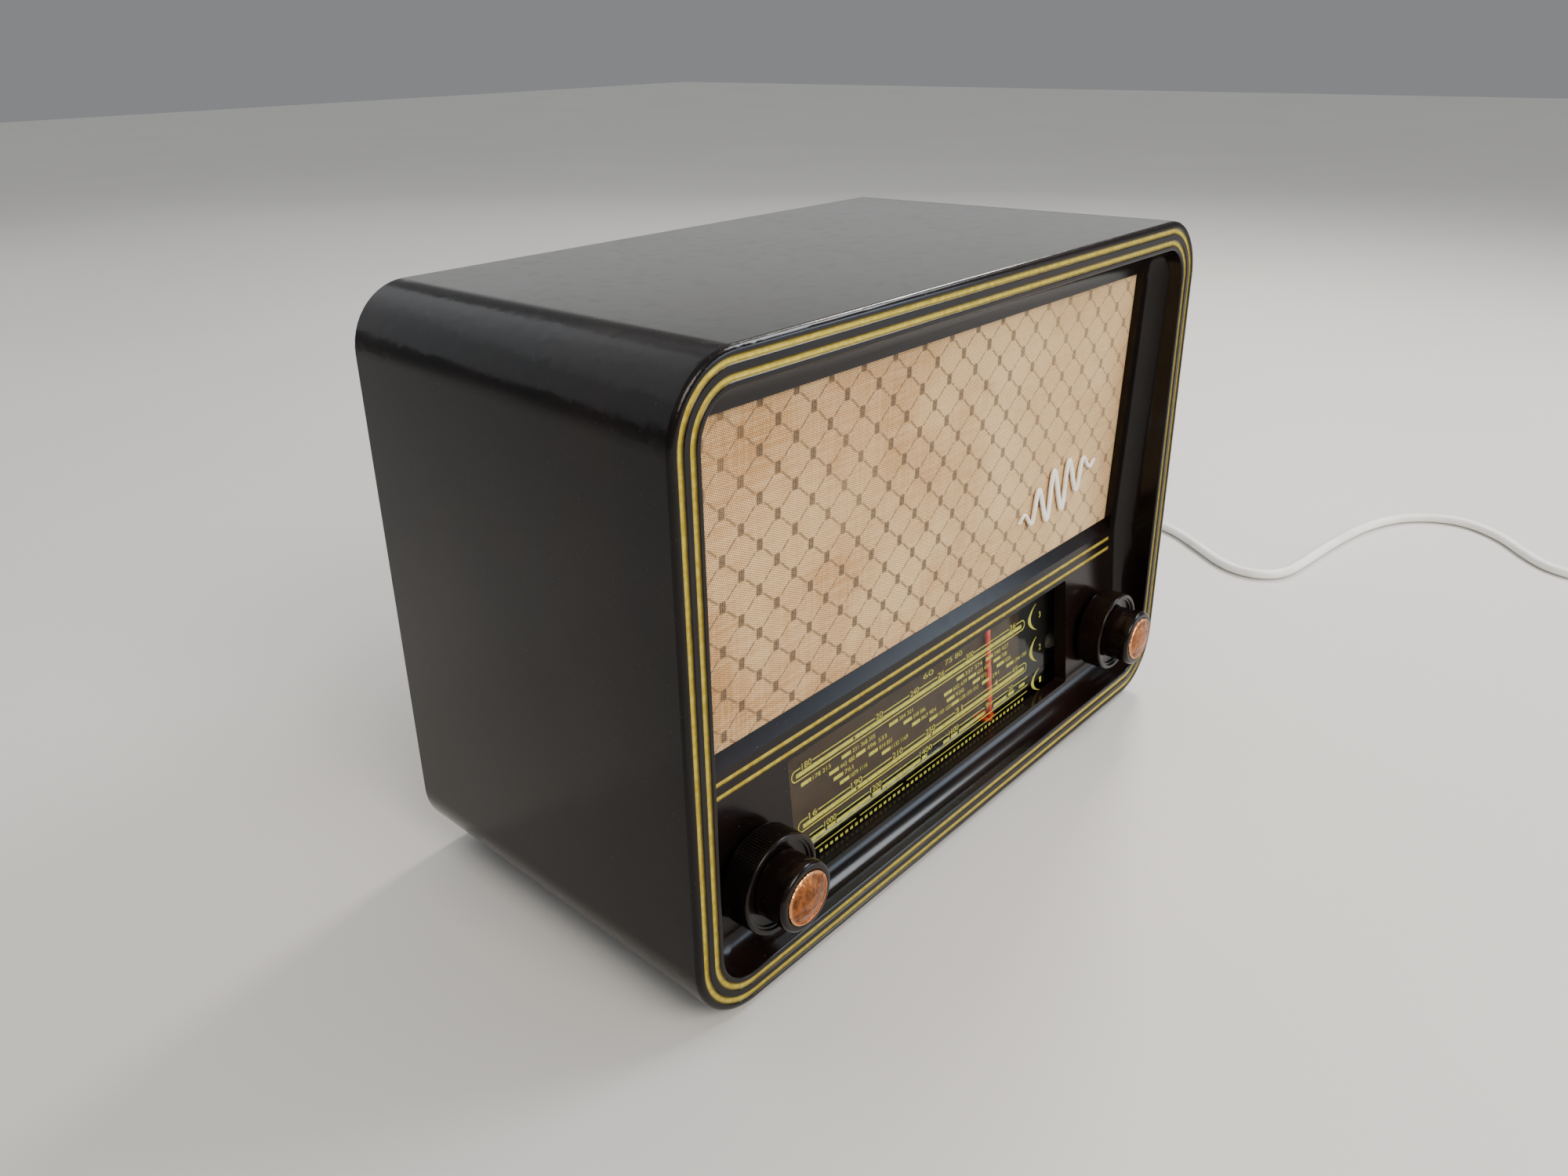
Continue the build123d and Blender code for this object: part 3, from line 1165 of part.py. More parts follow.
lead_radii = route_radii(lead_route)
with BuildPart() as mains_cord:
    with BuildLine() as lead_line:
        FilletPolyline(*lead_route, radius=lead_radii)
    lead_path = lead_line.wire()
    with BuildSketch(Plane(origin=lead_path @ 0, z_dir=lead_path % 0)):
        Circle(LEAD_RADIUS)
    sweep(path=lead_path)
    with BuildSketch(Plane.YZ.offset(coil_x - PLUG_GAP)):
        with Locations((coil_y - COIL_MEAN_RADIUS - LEAD_RADIUS, PLUG_Z)):
            Circle(LEAD_RADIUS)
    extrude(amount=PLUG_GAP)
    swept = mains_cord.part.volume
    add(mains_cord_coil.part, mode=Mode.SUBTRACT)
save(mains_cord.part, "mains_cord")
print("mains lead radii", [round(radius) for radius in lead_radii])
print("mains lead tube length", round(lead_path.length), "swept", round(swept), "expected",
      round(math.pi * LEAD_RADIUS**2 * (lead_path.length + PLUG_GAP)))


plug_y = coil_y - COIL_MEAN_RADIUS - LEAD_RADIUS
nose_x = coil_x - PLUG_GAP
body_x = nose_x - PLUG_NOSE
pins_x = body_x - PLUG_LENGTH
with BuildPart() as plug_body:
    for first_x, first_size, last_x, last_size in (
        (nose_x, (8, 8), body_x, (16, PLUG_THICK - 2)),
        (body_x, (PLUG_WIDTH * 0.7, PLUG_THICK), body_x - 10, (PLUG_WIDTH, PLUG_THICK)),
    ):
        with BuildSketch(Plane.YZ.offset(first_x)):
            with Locations((plug_y, PLUG_Z)):
                RectangleRounded(*first_size, min(first_size) * 0.35)
        with BuildSketch(Plane.YZ.offset(last_x)):
            with Locations((plug_y, PLUG_Z)):
                RectangleRounded(*last_size, min(last_size) * 0.35)
        loft()
    with BuildSketch(Plane.YZ.offset(pins_x)):
        with Locations((plug_y, PLUG_Z)):
            RectangleRounded(PLUG_WIDTH, PLUG_THICK, PLUG_THICK * 0.35)
    extrude(amount=PLUG_LENGTH - 10)
save(plug_body.part, "plug_body")

with BuildPart() as plug_pins:
    with BuildSketch(Plane.YZ.offset(pins_x)):
        with Locations(*[(plug_y + side * PIN_SPACING / 2, PLUG_Z) for side in (-1, 1)]):
            Circle(PIN_RADIUS)
    extrude(amount=-PIN_LENGTH)
    fillet(plug_pins.edges().group_by(Axis.X)[0], PIN_RADIUS * 0.6)
save(plug_pins.part, "plug_pins")
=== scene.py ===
# %% [markdown]
# # A valve table radio in a moulded case
# The frame of this model is a finished CAD assembly: every wall, shaft and pulley is already in its
# place, in metres, with +X to the right of the set, its front towards -Y and +Z up. This notebook
# adds what the eye judges: the deep gloss of the moulding, the gold in its grooves, the woven cloth,
# the printed dial, the turned knobs with their copper caps and the white mains lead.
# We load the frame first and remember its box. Nothing that we add may change the size.

# %% Load the frame
import math
import random

import bmesh
import bpy
from mathutils import Matrix, Vector


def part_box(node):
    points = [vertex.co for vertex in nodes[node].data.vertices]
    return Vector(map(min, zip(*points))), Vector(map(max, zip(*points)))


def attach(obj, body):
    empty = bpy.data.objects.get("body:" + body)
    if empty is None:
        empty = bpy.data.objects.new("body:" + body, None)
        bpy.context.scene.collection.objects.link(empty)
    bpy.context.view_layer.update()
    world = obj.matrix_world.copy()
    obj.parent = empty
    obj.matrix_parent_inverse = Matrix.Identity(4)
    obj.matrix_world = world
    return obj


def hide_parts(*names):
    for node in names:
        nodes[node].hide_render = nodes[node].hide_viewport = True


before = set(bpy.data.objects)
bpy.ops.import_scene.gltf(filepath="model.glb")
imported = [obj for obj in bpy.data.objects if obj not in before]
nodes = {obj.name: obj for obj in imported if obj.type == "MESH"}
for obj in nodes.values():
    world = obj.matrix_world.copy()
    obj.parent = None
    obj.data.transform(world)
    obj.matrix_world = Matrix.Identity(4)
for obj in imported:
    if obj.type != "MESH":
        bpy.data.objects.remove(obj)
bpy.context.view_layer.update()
MM = 0.001

# %% [markdown]
# ## Where things are
# The CAD nodes say where each piece sits. A few planes are used again and again: the face of the
# front frame, the leaning floor behind the cloth, and the leaning panel that holds the dial. A small
# function gives a matrix for each, whose X runs to the right, Y up along the plane and Z out of it,
# so that a flat drawing in millimetres can be laid on it in one step. A second one adds an object.

# %% Planes of the front
case_low, case_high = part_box("cabinet")
face_y = case_low.y
CASE_WIDTH, CASE_HEIGHT, CASE_ROUND = 350 * MM, 242.5 * MM, 28.5 * MM
CASE_MIDDLE_Z = case_high.z - CASE_HEIGHT / 2
CREASE = Vector((0, face_y + 18.9 * MM, 90 * MM))
UPPER_LEAN, LOWER_LEAN = math.radians(2), math.radians(-5)
DIAL_WALL, GLASS_THICK, CLOTH_DEEP = 6.4, 2.0, 3.5
KNOB_X, KNOB_Z = 131 * MM, (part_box("tone_ring")[0].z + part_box("tone_ring")[1].z) / 2


def add_object(name, data):
    """A new object in the scene for a mesh, a curve, a lamp or a camera."""
    made = bpy.data.objects.new(name, data)
    bpy.context.scene.collection.objects.link(made)
    return made


def front_panel(lean, behind):
    """Matrix of a plane through the crease, its top forward by lean, and behind it in millimetres."""
    out = Vector((0, -math.cos(lean), -math.sin(lean)))
    up = out.cross(Vector((1, 0, 0)))
    place = Matrix((Vector((1, 0, 0)), up, out)).transposed().to_4x4()
    place.translation = CREASE - out * behind * MM
    return place


cloth_plane = front_panel(UPPER_LEAN, CLOTH_DEEP)
print("cloth plane", [round(v, 4) for v in cloth_plane.translation])

# %% [markdown]
# ## Shader sums written as sums
# A material's pattern is arithmetic on coordinates, and arithmetic is easier to read as Python than
# as a web of nodes. `Wire` wraps one socket of a node. Adding, multiplying or comparing wires adds
# the Math nodes that do it. `Finish` is one material: its `node` method makes any other node, and
# `shade` fills in the surface shader.


# %% A wire and a finish
class Wire:
    """One value that flows through a finish; sums of wires add Math nodes."""

    def __init__(self, finish, socket):
        self.finish, self.socket = finish, socket

    def sum(self, operation, *values):
        return self.finish.node("ShaderNodeMath", {"operation": operation}, *values)

    def __add__(self, other):
        return self.sum("ADD", self, other)

    def __radd__(self, other):
        return self.sum("ADD", other, self)

    def __sub__(self, other):
        return self.sum("SUBTRACT", self, other)

    def __rsub__(self, other):
        return self.sum("SUBTRACT", other, self)

    def __mul__(self, other):
        return self.sum("MULTIPLY", self, other)

    def __rmul__(self, other):
        return self.sum("MULTIPLY", other, self)

    def __truediv__(self, other):
        return self.sum("DIVIDE", self, other)

    def __pow__(self, other):
        return self.sum("POWER", self, other)

    def __abs__(self):
        return self.sum("ABSOLUTE", self)

    def most(self, other):
        return self.sum("MAXIMUM", self, other)

    def least(self, other):
        return self.sum("MINIMUM", self, other)

    def wrapped(self, low, high):
        return self.sum("WRAP", self, high, low)

    def sine(self):
        return self.sum("SINE", self)

    def step(self, low, high):
        """0 below low, 1 above high, and a smooth rise between them."""
        return self.finish.node(
            "ShaderNodeMapRange", {"interpolation_type": "SMOOTHSTEP"}, self, low, high, 0.0, 1.0
        )

    def within(self, half, soft):
        """1 where the value is nearer to 0 than half, fading over soft."""
        return 1 - abs(self).step(half - soft / 2, half + soft / 2)


class Finish:
    """One material made of nodes."""

    def __init__(self, name):
        self.material = bpy.data.materials.new(name)
        self.material.use_nodes = True
        self.tree = self.material.node_tree
        self.tree.nodes.clear()
        self.output = self.tree.nodes.new("ShaderNodeOutputMaterial")

    def node(self, kind, settings, *values, out=0, **named):
        """Adds a node: its settings first, then the values or wires of its sockets, in order or by name."""
        made = self.tree.nodes.new(kind)
        for key, value in settings.items():
            setattr(made, key, value)
        for key, value in [*enumerate(values), *named.items()]:
            socket = made.inputs[key.replace("_", " ") if isinstance(key, str) else key]
            if isinstance(value, Wire):
                self.tree.links.new(value.socket, socket)
            elif value is not None:
                socket.default_value = value
        return Wire(self, made.outputs[out])

    def place(self):
        """The x, y and z of the piece's own coordinates."""
        where = self.node("ShaderNodeTexCoord", {}, out="Object")
        split = self.node("ShaderNodeSeparateXYZ", {}, where).socket.node
        return where, [Wire(self, split.outputs[axis]) for axis in "XYZ"]

    def noise(self, where, scale, detail=2.0, rough=0.5):
        return self.node("ShaderNodeTexNoise", {}, Vector=where, Scale=scale, Detail=detail, Roughness=rough)

    def stretched(self, where, scale):
        return self.node("ShaderNodeMapping", {}, Vector=where, Scale=scale)

    def mix(self, share, low, high, blend="MIX"):
        """Low where share is 0 and high where it is 1, for colours."""
        made = self.tree.nodes.new("ShaderNodeMix")
        made.data_type, made.blend_type = "RGBA", blend
        for key, value in ((0, share), (6, low), (7, high)):
            if isinstance(value, Wire):
                self.tree.links.new(value.socket, made.inputs[key])
            else:
                made.inputs[key].default_value = value if key == 0 else (*value, 1.0)
        return Wire(self, made.outputs[2])

    def bump(self, height, distance, strength=1.0):
        return self.node("ShaderNodeBump", {}, Height=height, Distance=distance, Strength=strength)

    def shade(self, **sockets):
        """The surface shader, with its sockets by name."""
        made = self.tree.nodes.new("ShaderNodeBsdfPrincipled")
        for key, value in sockets.items():
            socket = made.inputs[key.replace("_", " ")]
            if isinstance(value, Wire):
                self.tree.links.new(value.socket, socket)
            elif isinstance(value, tuple) and len(value) == 3 and socket.type == "RGBA":
                socket.default_value = (*value, 1.0)
            else:
                socket.default_value = value
        self.tree.links.new(made.outputs[0], self.output.inputs[0])
        return self.material


def srgb(red, green, blue):
    """A linear colour from the 0 to 255 values of a paint chart."""
    chart = [c / 255 for c in (red, green, blue)]
    return tuple(c / 12.92 if c <= 0.04045 else ((c + 0.055) / 1.055) ** 2.4 for c in chart)


# %% [markdown]
# ## Camera
# The camera stands to the left of the set and a little above it, as a person leaning over the table
# would. A wide lens makes the left side fall away strongly. It is aimed with a look-at matrix and
# then rolled by one degree, as a hand does.

# %% Camera
camera_spot = Vector((-0.40445, -0.31850, 0.32814))
camera_aim = Vector((0.00931, 0.03826, 0.08010))
CAMERA_LENS, CAMERA_ROLL = 28.39, math.radians(-0.977)
camera_data = bpy.data.cameras.new("camera")
camera_data.lens, camera_data.sensor_width = CAMERA_LENS, 36.0
camera_data.clip_start, camera_data.clip_end = 0.02, 20.0
camera = add_object("camera", camera_data)
look = (camera_aim - camera_spot).to_track_quat("-Z", "Y").to_matrix().to_4x4()
camera.matrix_world = Matrix.Translation(camera_spot) @ look @ Matrix.Rotation(CAMERA_ROLL, 4, "Z")
bpy.context.scene.camera = camera
print("camera", tuple(round(v, 3) for v in camera_spot), "lens", CAMERA_LENS)

# %% [markdown]
# ## Floor and light
# Black gloss has hardly any colour of its own: what you see on it is the room. So the lamps matter
# as much as the paint. A broad soft lamp stands in front and to the left for the cloth. Three lamps on the
# right draw the long bright lines in the rounded floor of the recess and on the ledge, and the
# glints along the grooves. A wide low one behind is what the top mirrors, and one lights the back.
# An even light from above, like a pale ceiling, keeps the far floor bright.


# %% Floor and lamps
def area_lamp(name, spot, aim, size, watts, colour):
    light = bpy.data.lights.new(name, "AREA")
    light.shape, light.size, light.size_y = "RECTANGLE", size[0], size[1]
    light.energy, light.color = watts, colour
    turn = (Vector(aim) - Vector(spot)).to_track_quat("-Z", "Y").to_matrix().to_4x4()
    add_object(name, light).matrix_world = Matrix.Translation(Vector(spot)) @ turn


FLOOR_HALF = 6.0
floor_mesh = bpy.data.meshes.new("floor")
floor_mesh.from_pydata(
    [(x * FLOOR_HALF, y * FLOOR_HALF, 0) for x, y in ((-1, -1), (1, -1), (1, 1), (-1, 1))], [], [(0, 1, 2, 3)]
)
add_object("floor", floor_mesh)
floor_finish = Finish("floor")
where, _ = floor_finish.place()
speckle = floor_finish.noise(where, 3.0, 3.0)
floor_mesh.materials.append(
    floor_finish.shade(
        Base_Color=floor_finish.mix(speckle, (0.62, 0.60, 0.57), (0.68, 0.66, 0.63)), Roughness=0.55
    )
)

WARM, COOL = (1.0, 0.92, 0.82), (0.90, 0.95, 1.0)
area_lamp("front_lamp", (-0.45, -1.55, 1.25), (0.0, -0.05, 0.12), (1.0, 0.8), 34, WARM)
area_lamp("trough_lamp", (0.95, -0.56, 1.20), (-0.05, -0.07, 0.03), (0.60, 0.40), 15, COOL)
area_lamp("sill_lamp", (1.35, -1.55, 0.34), (0.0, -0.06, 0.095), (0.9, 0.5), 11, (0.70, 0.83, 1.0))
area_lamp("ceiling_lamp", (1.26, 0.32, 1.15), (0.0, -0.05, 0.05), (0.30, 0.30), 15, WARM)
area_lamp("far_wall_glow", (1.70, 1.36, 0.64), (0.0, 0.0, 0.24), (2.4, 0.42), 2.2, (0.98, 1.0, 0.96))
area_lamp("back_fill", (-0.6, 1.6, 1.2), (0.0, 0.0, 0.1), (2.4, 1.6), 9, COOL)
sky_light = bpy.data.lights.new("sky_light", "SUN")
sky_light.energy, sky_light.angle, sky_light.color = 0.9, math.radians(120), (0.96, 0.98, 1.0)
add_object("sky_light", sky_light)
world = bpy.data.worlds.new("room")
bpy.context.scene.world = world
world.use_nodes = True
world.node_tree.nodes["Background"].inputs["Color"].default_value = (0.80, 0.82, 0.84, 1)
world.node_tree.nodes["Background"].inputs["Strength"].default_value = 0.30

# %% [markdown]
# ## Moulded case
# The case is phenolic moulding, nearly black with a breath of brown, and polished. Two concave
# grooves run round its front frame and two fine lines cross the panel over the dial. They were
# painted gold by hand and wiped, so the gold stays down in them. The grooves are real geometry. The
# gold is a mask: the distance to the rounded outline of the frame, worked out from x and z, tells
# which groove a point is in, and its depth keeps the gold off the sides of the case. Along the edges
# of a groove the gold is painted a darker olive, a painted shade for the groove's curved walls, while
# the middle of each groove and the panel lines keep the lighter gold.

# %% Case finish
GROOVE_INSETS, GROOVE_HALF = (4.35 * MM, 9.6 * MM), 1.24 * MM
LINE_DOWNS, LINE_HALF, LINE_REACH = (4.0 * MM, 9.2 * MM), 0.85 * MM, 151.4 * MM
GLOSS_LEVEL, POLISH_DEEP = 0.2, 0.00004


def moulding(name, gold=False):
    """Polished near-black moulding, with gold in the grooves of the case."""
    case = Finish(name)
    where, (x, y, z) = case.place()
    clouds = case.noise(where, 14.0, 4.0, 0.6)
    haze = case.noise(where, 160.0, 3.0, 0.6)
    dust = case.noise(where, 1400.0, 1.0).step(0.76, 0.80)
    colour = case.mix(clouds.step(0.35, 0.75), srgb(12, 9, 8), srgb(27, 16, 13))
    colour = case.mix(dust * 0.3, colour, (0.22, 0.21, 0.19))
    rough = 0.16 + clouds * 0.05 + haze.step(0.45, 0.8) * 0.03 + dust * 0.25
    height = clouds * 0.04 + haze * 0.03 + dust * 0.3
    if not gold:
        return case.shade(
            Base_Color=colour, Roughness=rough, Normal=case.bump(height, POLISH_DEEP),
            Specular_IOR_Level=GLOSS_LEVEL,
        )
    across = abs(x) - (CASE_WIDTH / 2 - CASE_ROUND)
    upward = abs(z - CASE_MIDDLE_Z) - (CASE_HEIGHT / 2 - CASE_ROUND)
    corner = (across.most(0.0) ** 2 + upward.most(0.0) ** 2) ** 0.5
    inset = CASE_ROUND - corner - across.most(upward).least(0.0)
    brush = (case.noise(where, 260.0, 2.0) - 0.5) * (0.22 * MM)
    at_front = 1 - (y - face_y).step(1.05 * MM, 1.25 * MM)
    rings = [(inset + brush - groove).within(GROOVE_HALF, 0.25 * MM) for groove in GROOVE_INSETS]
    down = (CREASE.z - z) / math.cos(LOWER_LEAN)
    on_panel = (y - face_y).step(13 * MM, 14 * MM) * (1 - (y - face_y).step(20 * MM, 20.5 * MM))
    on_panel = on_panel * x.within(LINE_REACH, 0.3 * MM)
    lines = [(down + brush * 0.4 - spot).within(LINE_HALF, 0.2 * MM) for spot in LINE_DOWNS]
    gilt = ((rings[0] + rings[1]) * at_front + (lines[0] + lines[1]) * on_panel).least(1.0)
    chips = case.noise(where, 520.0, 3.0, 0.7).step(0.77, 0.81)
    gilt = gilt * (1 - chips * 0.6)
    aged = case.noise(where, 420.0, 3.0)
    # Painted shade: the gold is darker olive towards the edges of each groove, and lighter in the middle and
    # on the panel lines.
    lit_groove_middles = [(inset + brush - groove).within(GROOVE_HALF * 0.60, 0.9 * MM) for groove in GROOVE_INSETS]
    groove_painted_light = (lit_groove_middles[0] + lit_groove_middles[1]).least(1.0).most(on_panel)
    gold_colour = case.mix(aged.step(0.3, 0.7), srgb(166, 144, 40), srgb(196, 176, 72))
    gold_colour = case.mix(groove_painted_light, srgb(88, 74, 22), gold_colour)
    return case.shade(
        Base_Color=case.mix(gilt, colour, gold_colour),
        Roughness=rough * (1 - gilt) + (0.32 + aged * 0.12) * gilt,
        Metallic=gilt * 0.35,
        Normal=case.bump(height + gilt * (0.25 + aged * 0.2), POLISH_DEEP),
        Specular_IOR_Level=GLOSS_LEVEL,
    )


case_finish = moulding("case_moulding", gold=True)
knob_finish = moulding("knob_moulding")

# %% [markdown]
# ## Smooth faces on the CAD nodes
# A CAD node arrives as loose triangles, and its mesh is left as it is. A small Geometry Nodes
# modifier merges the doubles, shades the faces smooth, and marks only the real corners sharp by the
# angle between faces. A Weighted Normal modifier after it keeps large flat walls flat beside their
# rounded edges, which polished moulding would show at once.


# %% Smoothing modifier
def smoothing_tree(angle):
    tree = bpy.data.node_groups.new("smooth_by_angle", "GeometryNodeTree")
    tree.interface.new_socket("Geometry", in_out="INPUT", socket_type="NodeSocketGeometry")
    tree.interface.new_socket("Geometry", in_out="OUTPUT", socket_type="NodeSocketGeometry")
    start, end = tree.nodes.new("NodeGroupInput"), tree.nodes.new("NodeGroupOutput")
    merge = tree.nodes.new("GeometryNodeMergeByDistance")
    merge.inputs["Distance"].default_value = 0.000002
    faces = tree.nodes.new("GeometryNodeSetShadeSmooth")
    edges = tree.nodes.new("GeometryNodeSetShadeSmooth")
    edges.domain = "EDGE"
    edges.inputs["Shade Smooth"].default_value = False
    corner = tree.nodes.new("GeometryNodeInputMeshEdgeAngle")
    sharp = tree.nodes.new("FunctionNodeCompare")
    sharp.data_type, sharp.operation = "FLOAT", "GREATER_THAN"
    sharp.inputs[1].default_value = angle
    for a, b in (
        (start.outputs[0], merge.inputs["Geometry"]),
        (merge.outputs["Geometry"], faces.inputs["Geometry"]),
        (faces.outputs["Geometry"], edges.inputs["Geometry"]),
        (corner.outputs["Unsigned Angle"], sharp.inputs[0]),
        (sharp.outputs["Result"], edges.inputs["Selection"]),
        (edges.outputs["Geometry"], end.inputs[0]),
    ):
        tree.links.new(a, b)
    return tree


SHARP_CORNER = math.radians(32)
smooth_tree = smoothing_tree(SHARP_CORNER)


def finish_node(name, material):
    """Gives a CAD node its finish and smooth faces."""
    node = nodes[name]
    node.data.materials.clear()
    node.data.materials.append(material)
    smooth = node.modifiers.new("smooth_faces", "NODES")
    smooth.node_group = smooth_tree
    weighted = node.modifiers.new("weighted_normals", "WEIGHTED_NORMAL")
    weighted.keep_sharp = True
    return node


finish_node("cabinet", case_finish)

# %% [markdown]
# ## Building helpers
# A few helpers make most of the new pieces. One turns a half section on the lathe round a knob's
# axis, and one joins oval sections along a path into a closed skin. One makes an object that rides
# on a body, and one runs a Geometry Nodes tree once and keeps the plain mesh that it gives.


# %% Lathe and object helpers
def keep_piece(name, mesh, material, body):
    """A finished mesh in the row's frame becomes a piece that rides on a body."""
    piece = add_object(name, mesh)
    mesh.materials.clear()
    mesh.materials.append(material)
    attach(piece, body)
    return piece


def smooth_mesh(mesh, angle=SHARP_CORNER):
    mesh.shade_smooth()
    mesh.set_sharp_from_angle(angle=angle)
    return mesh


def mesh_from(name, work, closed=True):
    """The mesh of the faces built so far; the faces of a closed solid are turned outwards."""
    if closed:
        bmesh.ops.recalc_face_normals(work, faces=work.faces)
    mesh = bpy.data.meshes.new(name)
    work.to_mesh(mesh)
    work.free()
    return mesh


def add_skin(work, rings):
    """Joins rings of points one after another into a closed skin, with a cap at both ends."""
    loops = [[work.verts.new(spot) for spot in ring] for ring in rings]
    for near, far in zip(loops, loops[1:]):
        for step in range(len(near)):
            work.faces.new((near[step - 1], near[step], far[step], far[step - 1]))
    work.faces.new(loops[0])
    work.faces.new(loops[-1][::-1])


def oval_points(half_wide, half_tall, corners, square=2):
    """Points of an oval about its middle; with square over 2 it turns towards a rectangle."""
    turns = [2 * math.pi * step / corners for step in range(corners)]
    return [(
        math.copysign(abs(math.cos(turn)) ** (2 / square), math.cos(turn)) * half_wide,
        math.copysign(abs(math.sin(turn)) ** (2 / square), math.sin(turn)) * half_tall,
    ) for turn in turns]


def turned_mesh(name, profile, axis_x, axis_z, segments=128):
    """Closed solid of revolution about a front-to-back axis, from (radius, depth) points in millimetres."""
    work = bmesh.new()
    rings = []
    for radius, depth in profile:
        y = face_y + depth * MM
        if radius == 0:
            rings.append([work.verts.new((axis_x, y, axis_z))])
            continue
        rings.append([
            work.verts.new((
                axis_x + radius * MM * math.cos(2 * math.pi * step / segments),
                y,
                axis_z + radius * MM * math.sin(2 * math.pi * step / segments),
            ))
            for step in range(segments)
        ])
    pairs = list(zip(rings, rings[1:] + rings[:1]))
    for near, far in pairs:
        if len(near) == 1 and len(far) == 1:
            continue
        for step in range(segments):
            after = (step + 1) % segments
            corners = [near[step % len(near)], near[after % len(near)]]
            corners += [far[after % len(far)], far[step % len(far)]]
            corners = list(dict.fromkeys(corners))
            if len(corners) > 2:
                work.faces.new(corners)
    return smooth_mesh(mesh_from(name, work))


def arc_points(centre, radius, first, last, steps):
    """Points of an arc in a half section; angles in degrees from the radius axis towards depth."""
    turns = [math.radians(first + (last - first) * step / steps) for step in range(steps + 1)]
    return [(centre[0] + radius * math.cos(a), centre[1] + radius * math.sin(a)) for a in turns]


def run_tree(name, tree, inputs):
    """Runs a Geometry Nodes tree once and returns its result as a plain mesh."""
    host = add_object(name, bpy.data.meshes.new(name + "_start"))
    modifier = host.modifiers.new("tree", "NODES")
    modifier.node_group = tree
    sockets = {s.name: s.identifier for s in tree.interface.items_tree if s.in_out == "INPUT"}
    for key, value in inputs.items():
        modifier[sockets[key]] = value
    ready = host.evaluated_get(bpy.context.evaluated_depsgraph_get())
    mesh = bpy.data.meshes.new_from_object(ready)
    bpy.data.objects.remove(host)
    mesh.name = name
    return mesh


# %% [markdown]
# ## Knobs
# Each end has two knobs on one axis. The outer ring is a shallow cup with a double lip, and fine
# ribs round its rim give the fingers a grip. The inner knob is a plain barrel whose rounded front
# holds a domed copper cap. All are turned from half sections. The ribs repeat round a circle, so a
# Geometry Nodes tree instances one small rib on the points of a circle.


# %% Tree for ribs round a circle
def rib_ring_tree():
    tree = bpy.data.node_groups.new("ribs_round_a_rim", "GeometryNodeTree")
    for name, kind, value in (
        ("Count", "NodeSocketInt", 96),
        ("Rim Radius", "NodeSocketFloat", 0.0197),
        ("Rib Radius", "NodeSocketFloat", 0.0003),
        ("Rib Length", "NodeSocketFloat", 0.008),
        ("Middle", "NodeSocketVector", (0, 0, 0)),
        ("Finish", "NodeSocketMaterial", None),
    ):
        socket = tree.interface.new_socket(name, in_out="INPUT", socket_type=kind)
        if value is not None:
            socket.default_value = value
    tree.interface.new_socket("Geometry", in_out="OUTPUT", socket_type="NodeSocketGeometry")
    add, link = tree.nodes.new, tree.links.new
    start, end = add("NodeGroupInput"), add("NodeGroupOutput")
    circle = add("GeometryNodeMeshCircle")
    link(start.outputs["Count"], circle.inputs["Vertices"])
    link(start.outputs["Rim Radius"], circle.inputs["Radius"])
    rib = add("GeometryNodeMeshCylinder")
    rib.fill_type = "TRIANGLE_FAN"
    rib.inputs["Vertices"].default_value = 6
    link(start.outputs["Rib Radius"], rib.inputs["Radius"])
    link(start.outputs["Rib Length"], rib.inputs["Depth"])
    spread = add("GeometryNodeInstanceOnPoints")
    link(circle.outputs["Mesh"], spread.inputs["Points"])
    link(rib.outputs["Mesh"], spread.inputs["Instance"])
    stand = add("GeometryNodeTransform")
    stand.inputs["Rotation"].default_value = (math.pi / 2, 0, 0)
    link(spread.outputs["Instances"], stand.inputs["Geometry"])
    link(start.outputs["Middle"], stand.inputs["Translation"])
    real = add("GeometryNodeRealizeInstances")
    link(stand.outputs["Geometry"], real.inputs["Geometry"])
    paint = add("GeometryNodeSetMaterial")
    link(real.outputs["Geometry"], paint.inputs["Geometry"])
    link(start.outputs["Finish"], paint.inputs["Material"])
    link(paint.outputs["Geometry"], end.inputs[0])
    return tree


rib_tree = rib_ring_tree()

# %% Copper of the caps
copper = Finish("spun_copper")
where, (x, y, z) = copper.place()
from_axis = ((abs(x) - KNOB_X) ** 2 + (z - KNOB_Z) ** 2) ** 0.5
spun = (from_axis * (2 * math.pi / (0.35 * MM))).sine() * 0.5 + 0.5
dents = copper.noise(where, 240.0, 2.0, 0.6)
tarnish = copper.noise(where, 210.0, 4.0, 0.65).step(0.36, 0.66)
# Painted highlight: the rim of each cap is painted a lighter copper than its middle.
painted_rim_highlight = from_axis.step(8.9 * MM, 10.2 * MM)
toned = copper.mix(tarnish, srgb(178, 108, 58), srgb(112, 62, 30))
copper_finish = copper.shade(
    Base_Color=copper.mix(painted_rim_highlight, toned, srgb(226, 158, 104)),
    Metallic=1.0,
    Roughness=0.17 + tarnish * 0.12 + spun * 0.03,
    Normal=copper.bump(dents * 0.8 + spun * 0.02, 0.0022),
)

# %% Turn the rings, barrels and caps
RING_RADIUS, KNOB_RADIUS, CAP_RADIUS, CAP_SPHERE = 19.7, 13.7, 10.6, 27.0
RIBS, RIB_RADIUS = 104, 0.34
ring_profile = [
    (5.2, 12), (RING_RADIUS - 1.2, 12), (RING_RADIUS - 0.5, 11.6), (RING_RADIUS - 0.35, 10.8),
    (RING_RADIUS - 0.35, 1.4),
    *arc_points((RING_RADIUS - 0.9, 0.4), 0.9, 0, -90, 6),
    *arc_points((RING_RADIUS - 1.5, 0.0), 0.5, -90, -180, 4),
    (RING_RADIUS - 2.0, 0.55),
    *arc_points((RING_RADIUS - 2.6, 0.95), 0.4, -90, -180, 4),
    (RING_RADIUS - 3.1, 2.0), (RING_RADIUS - 3.5, 2.2), (5.2, 2.2),
]
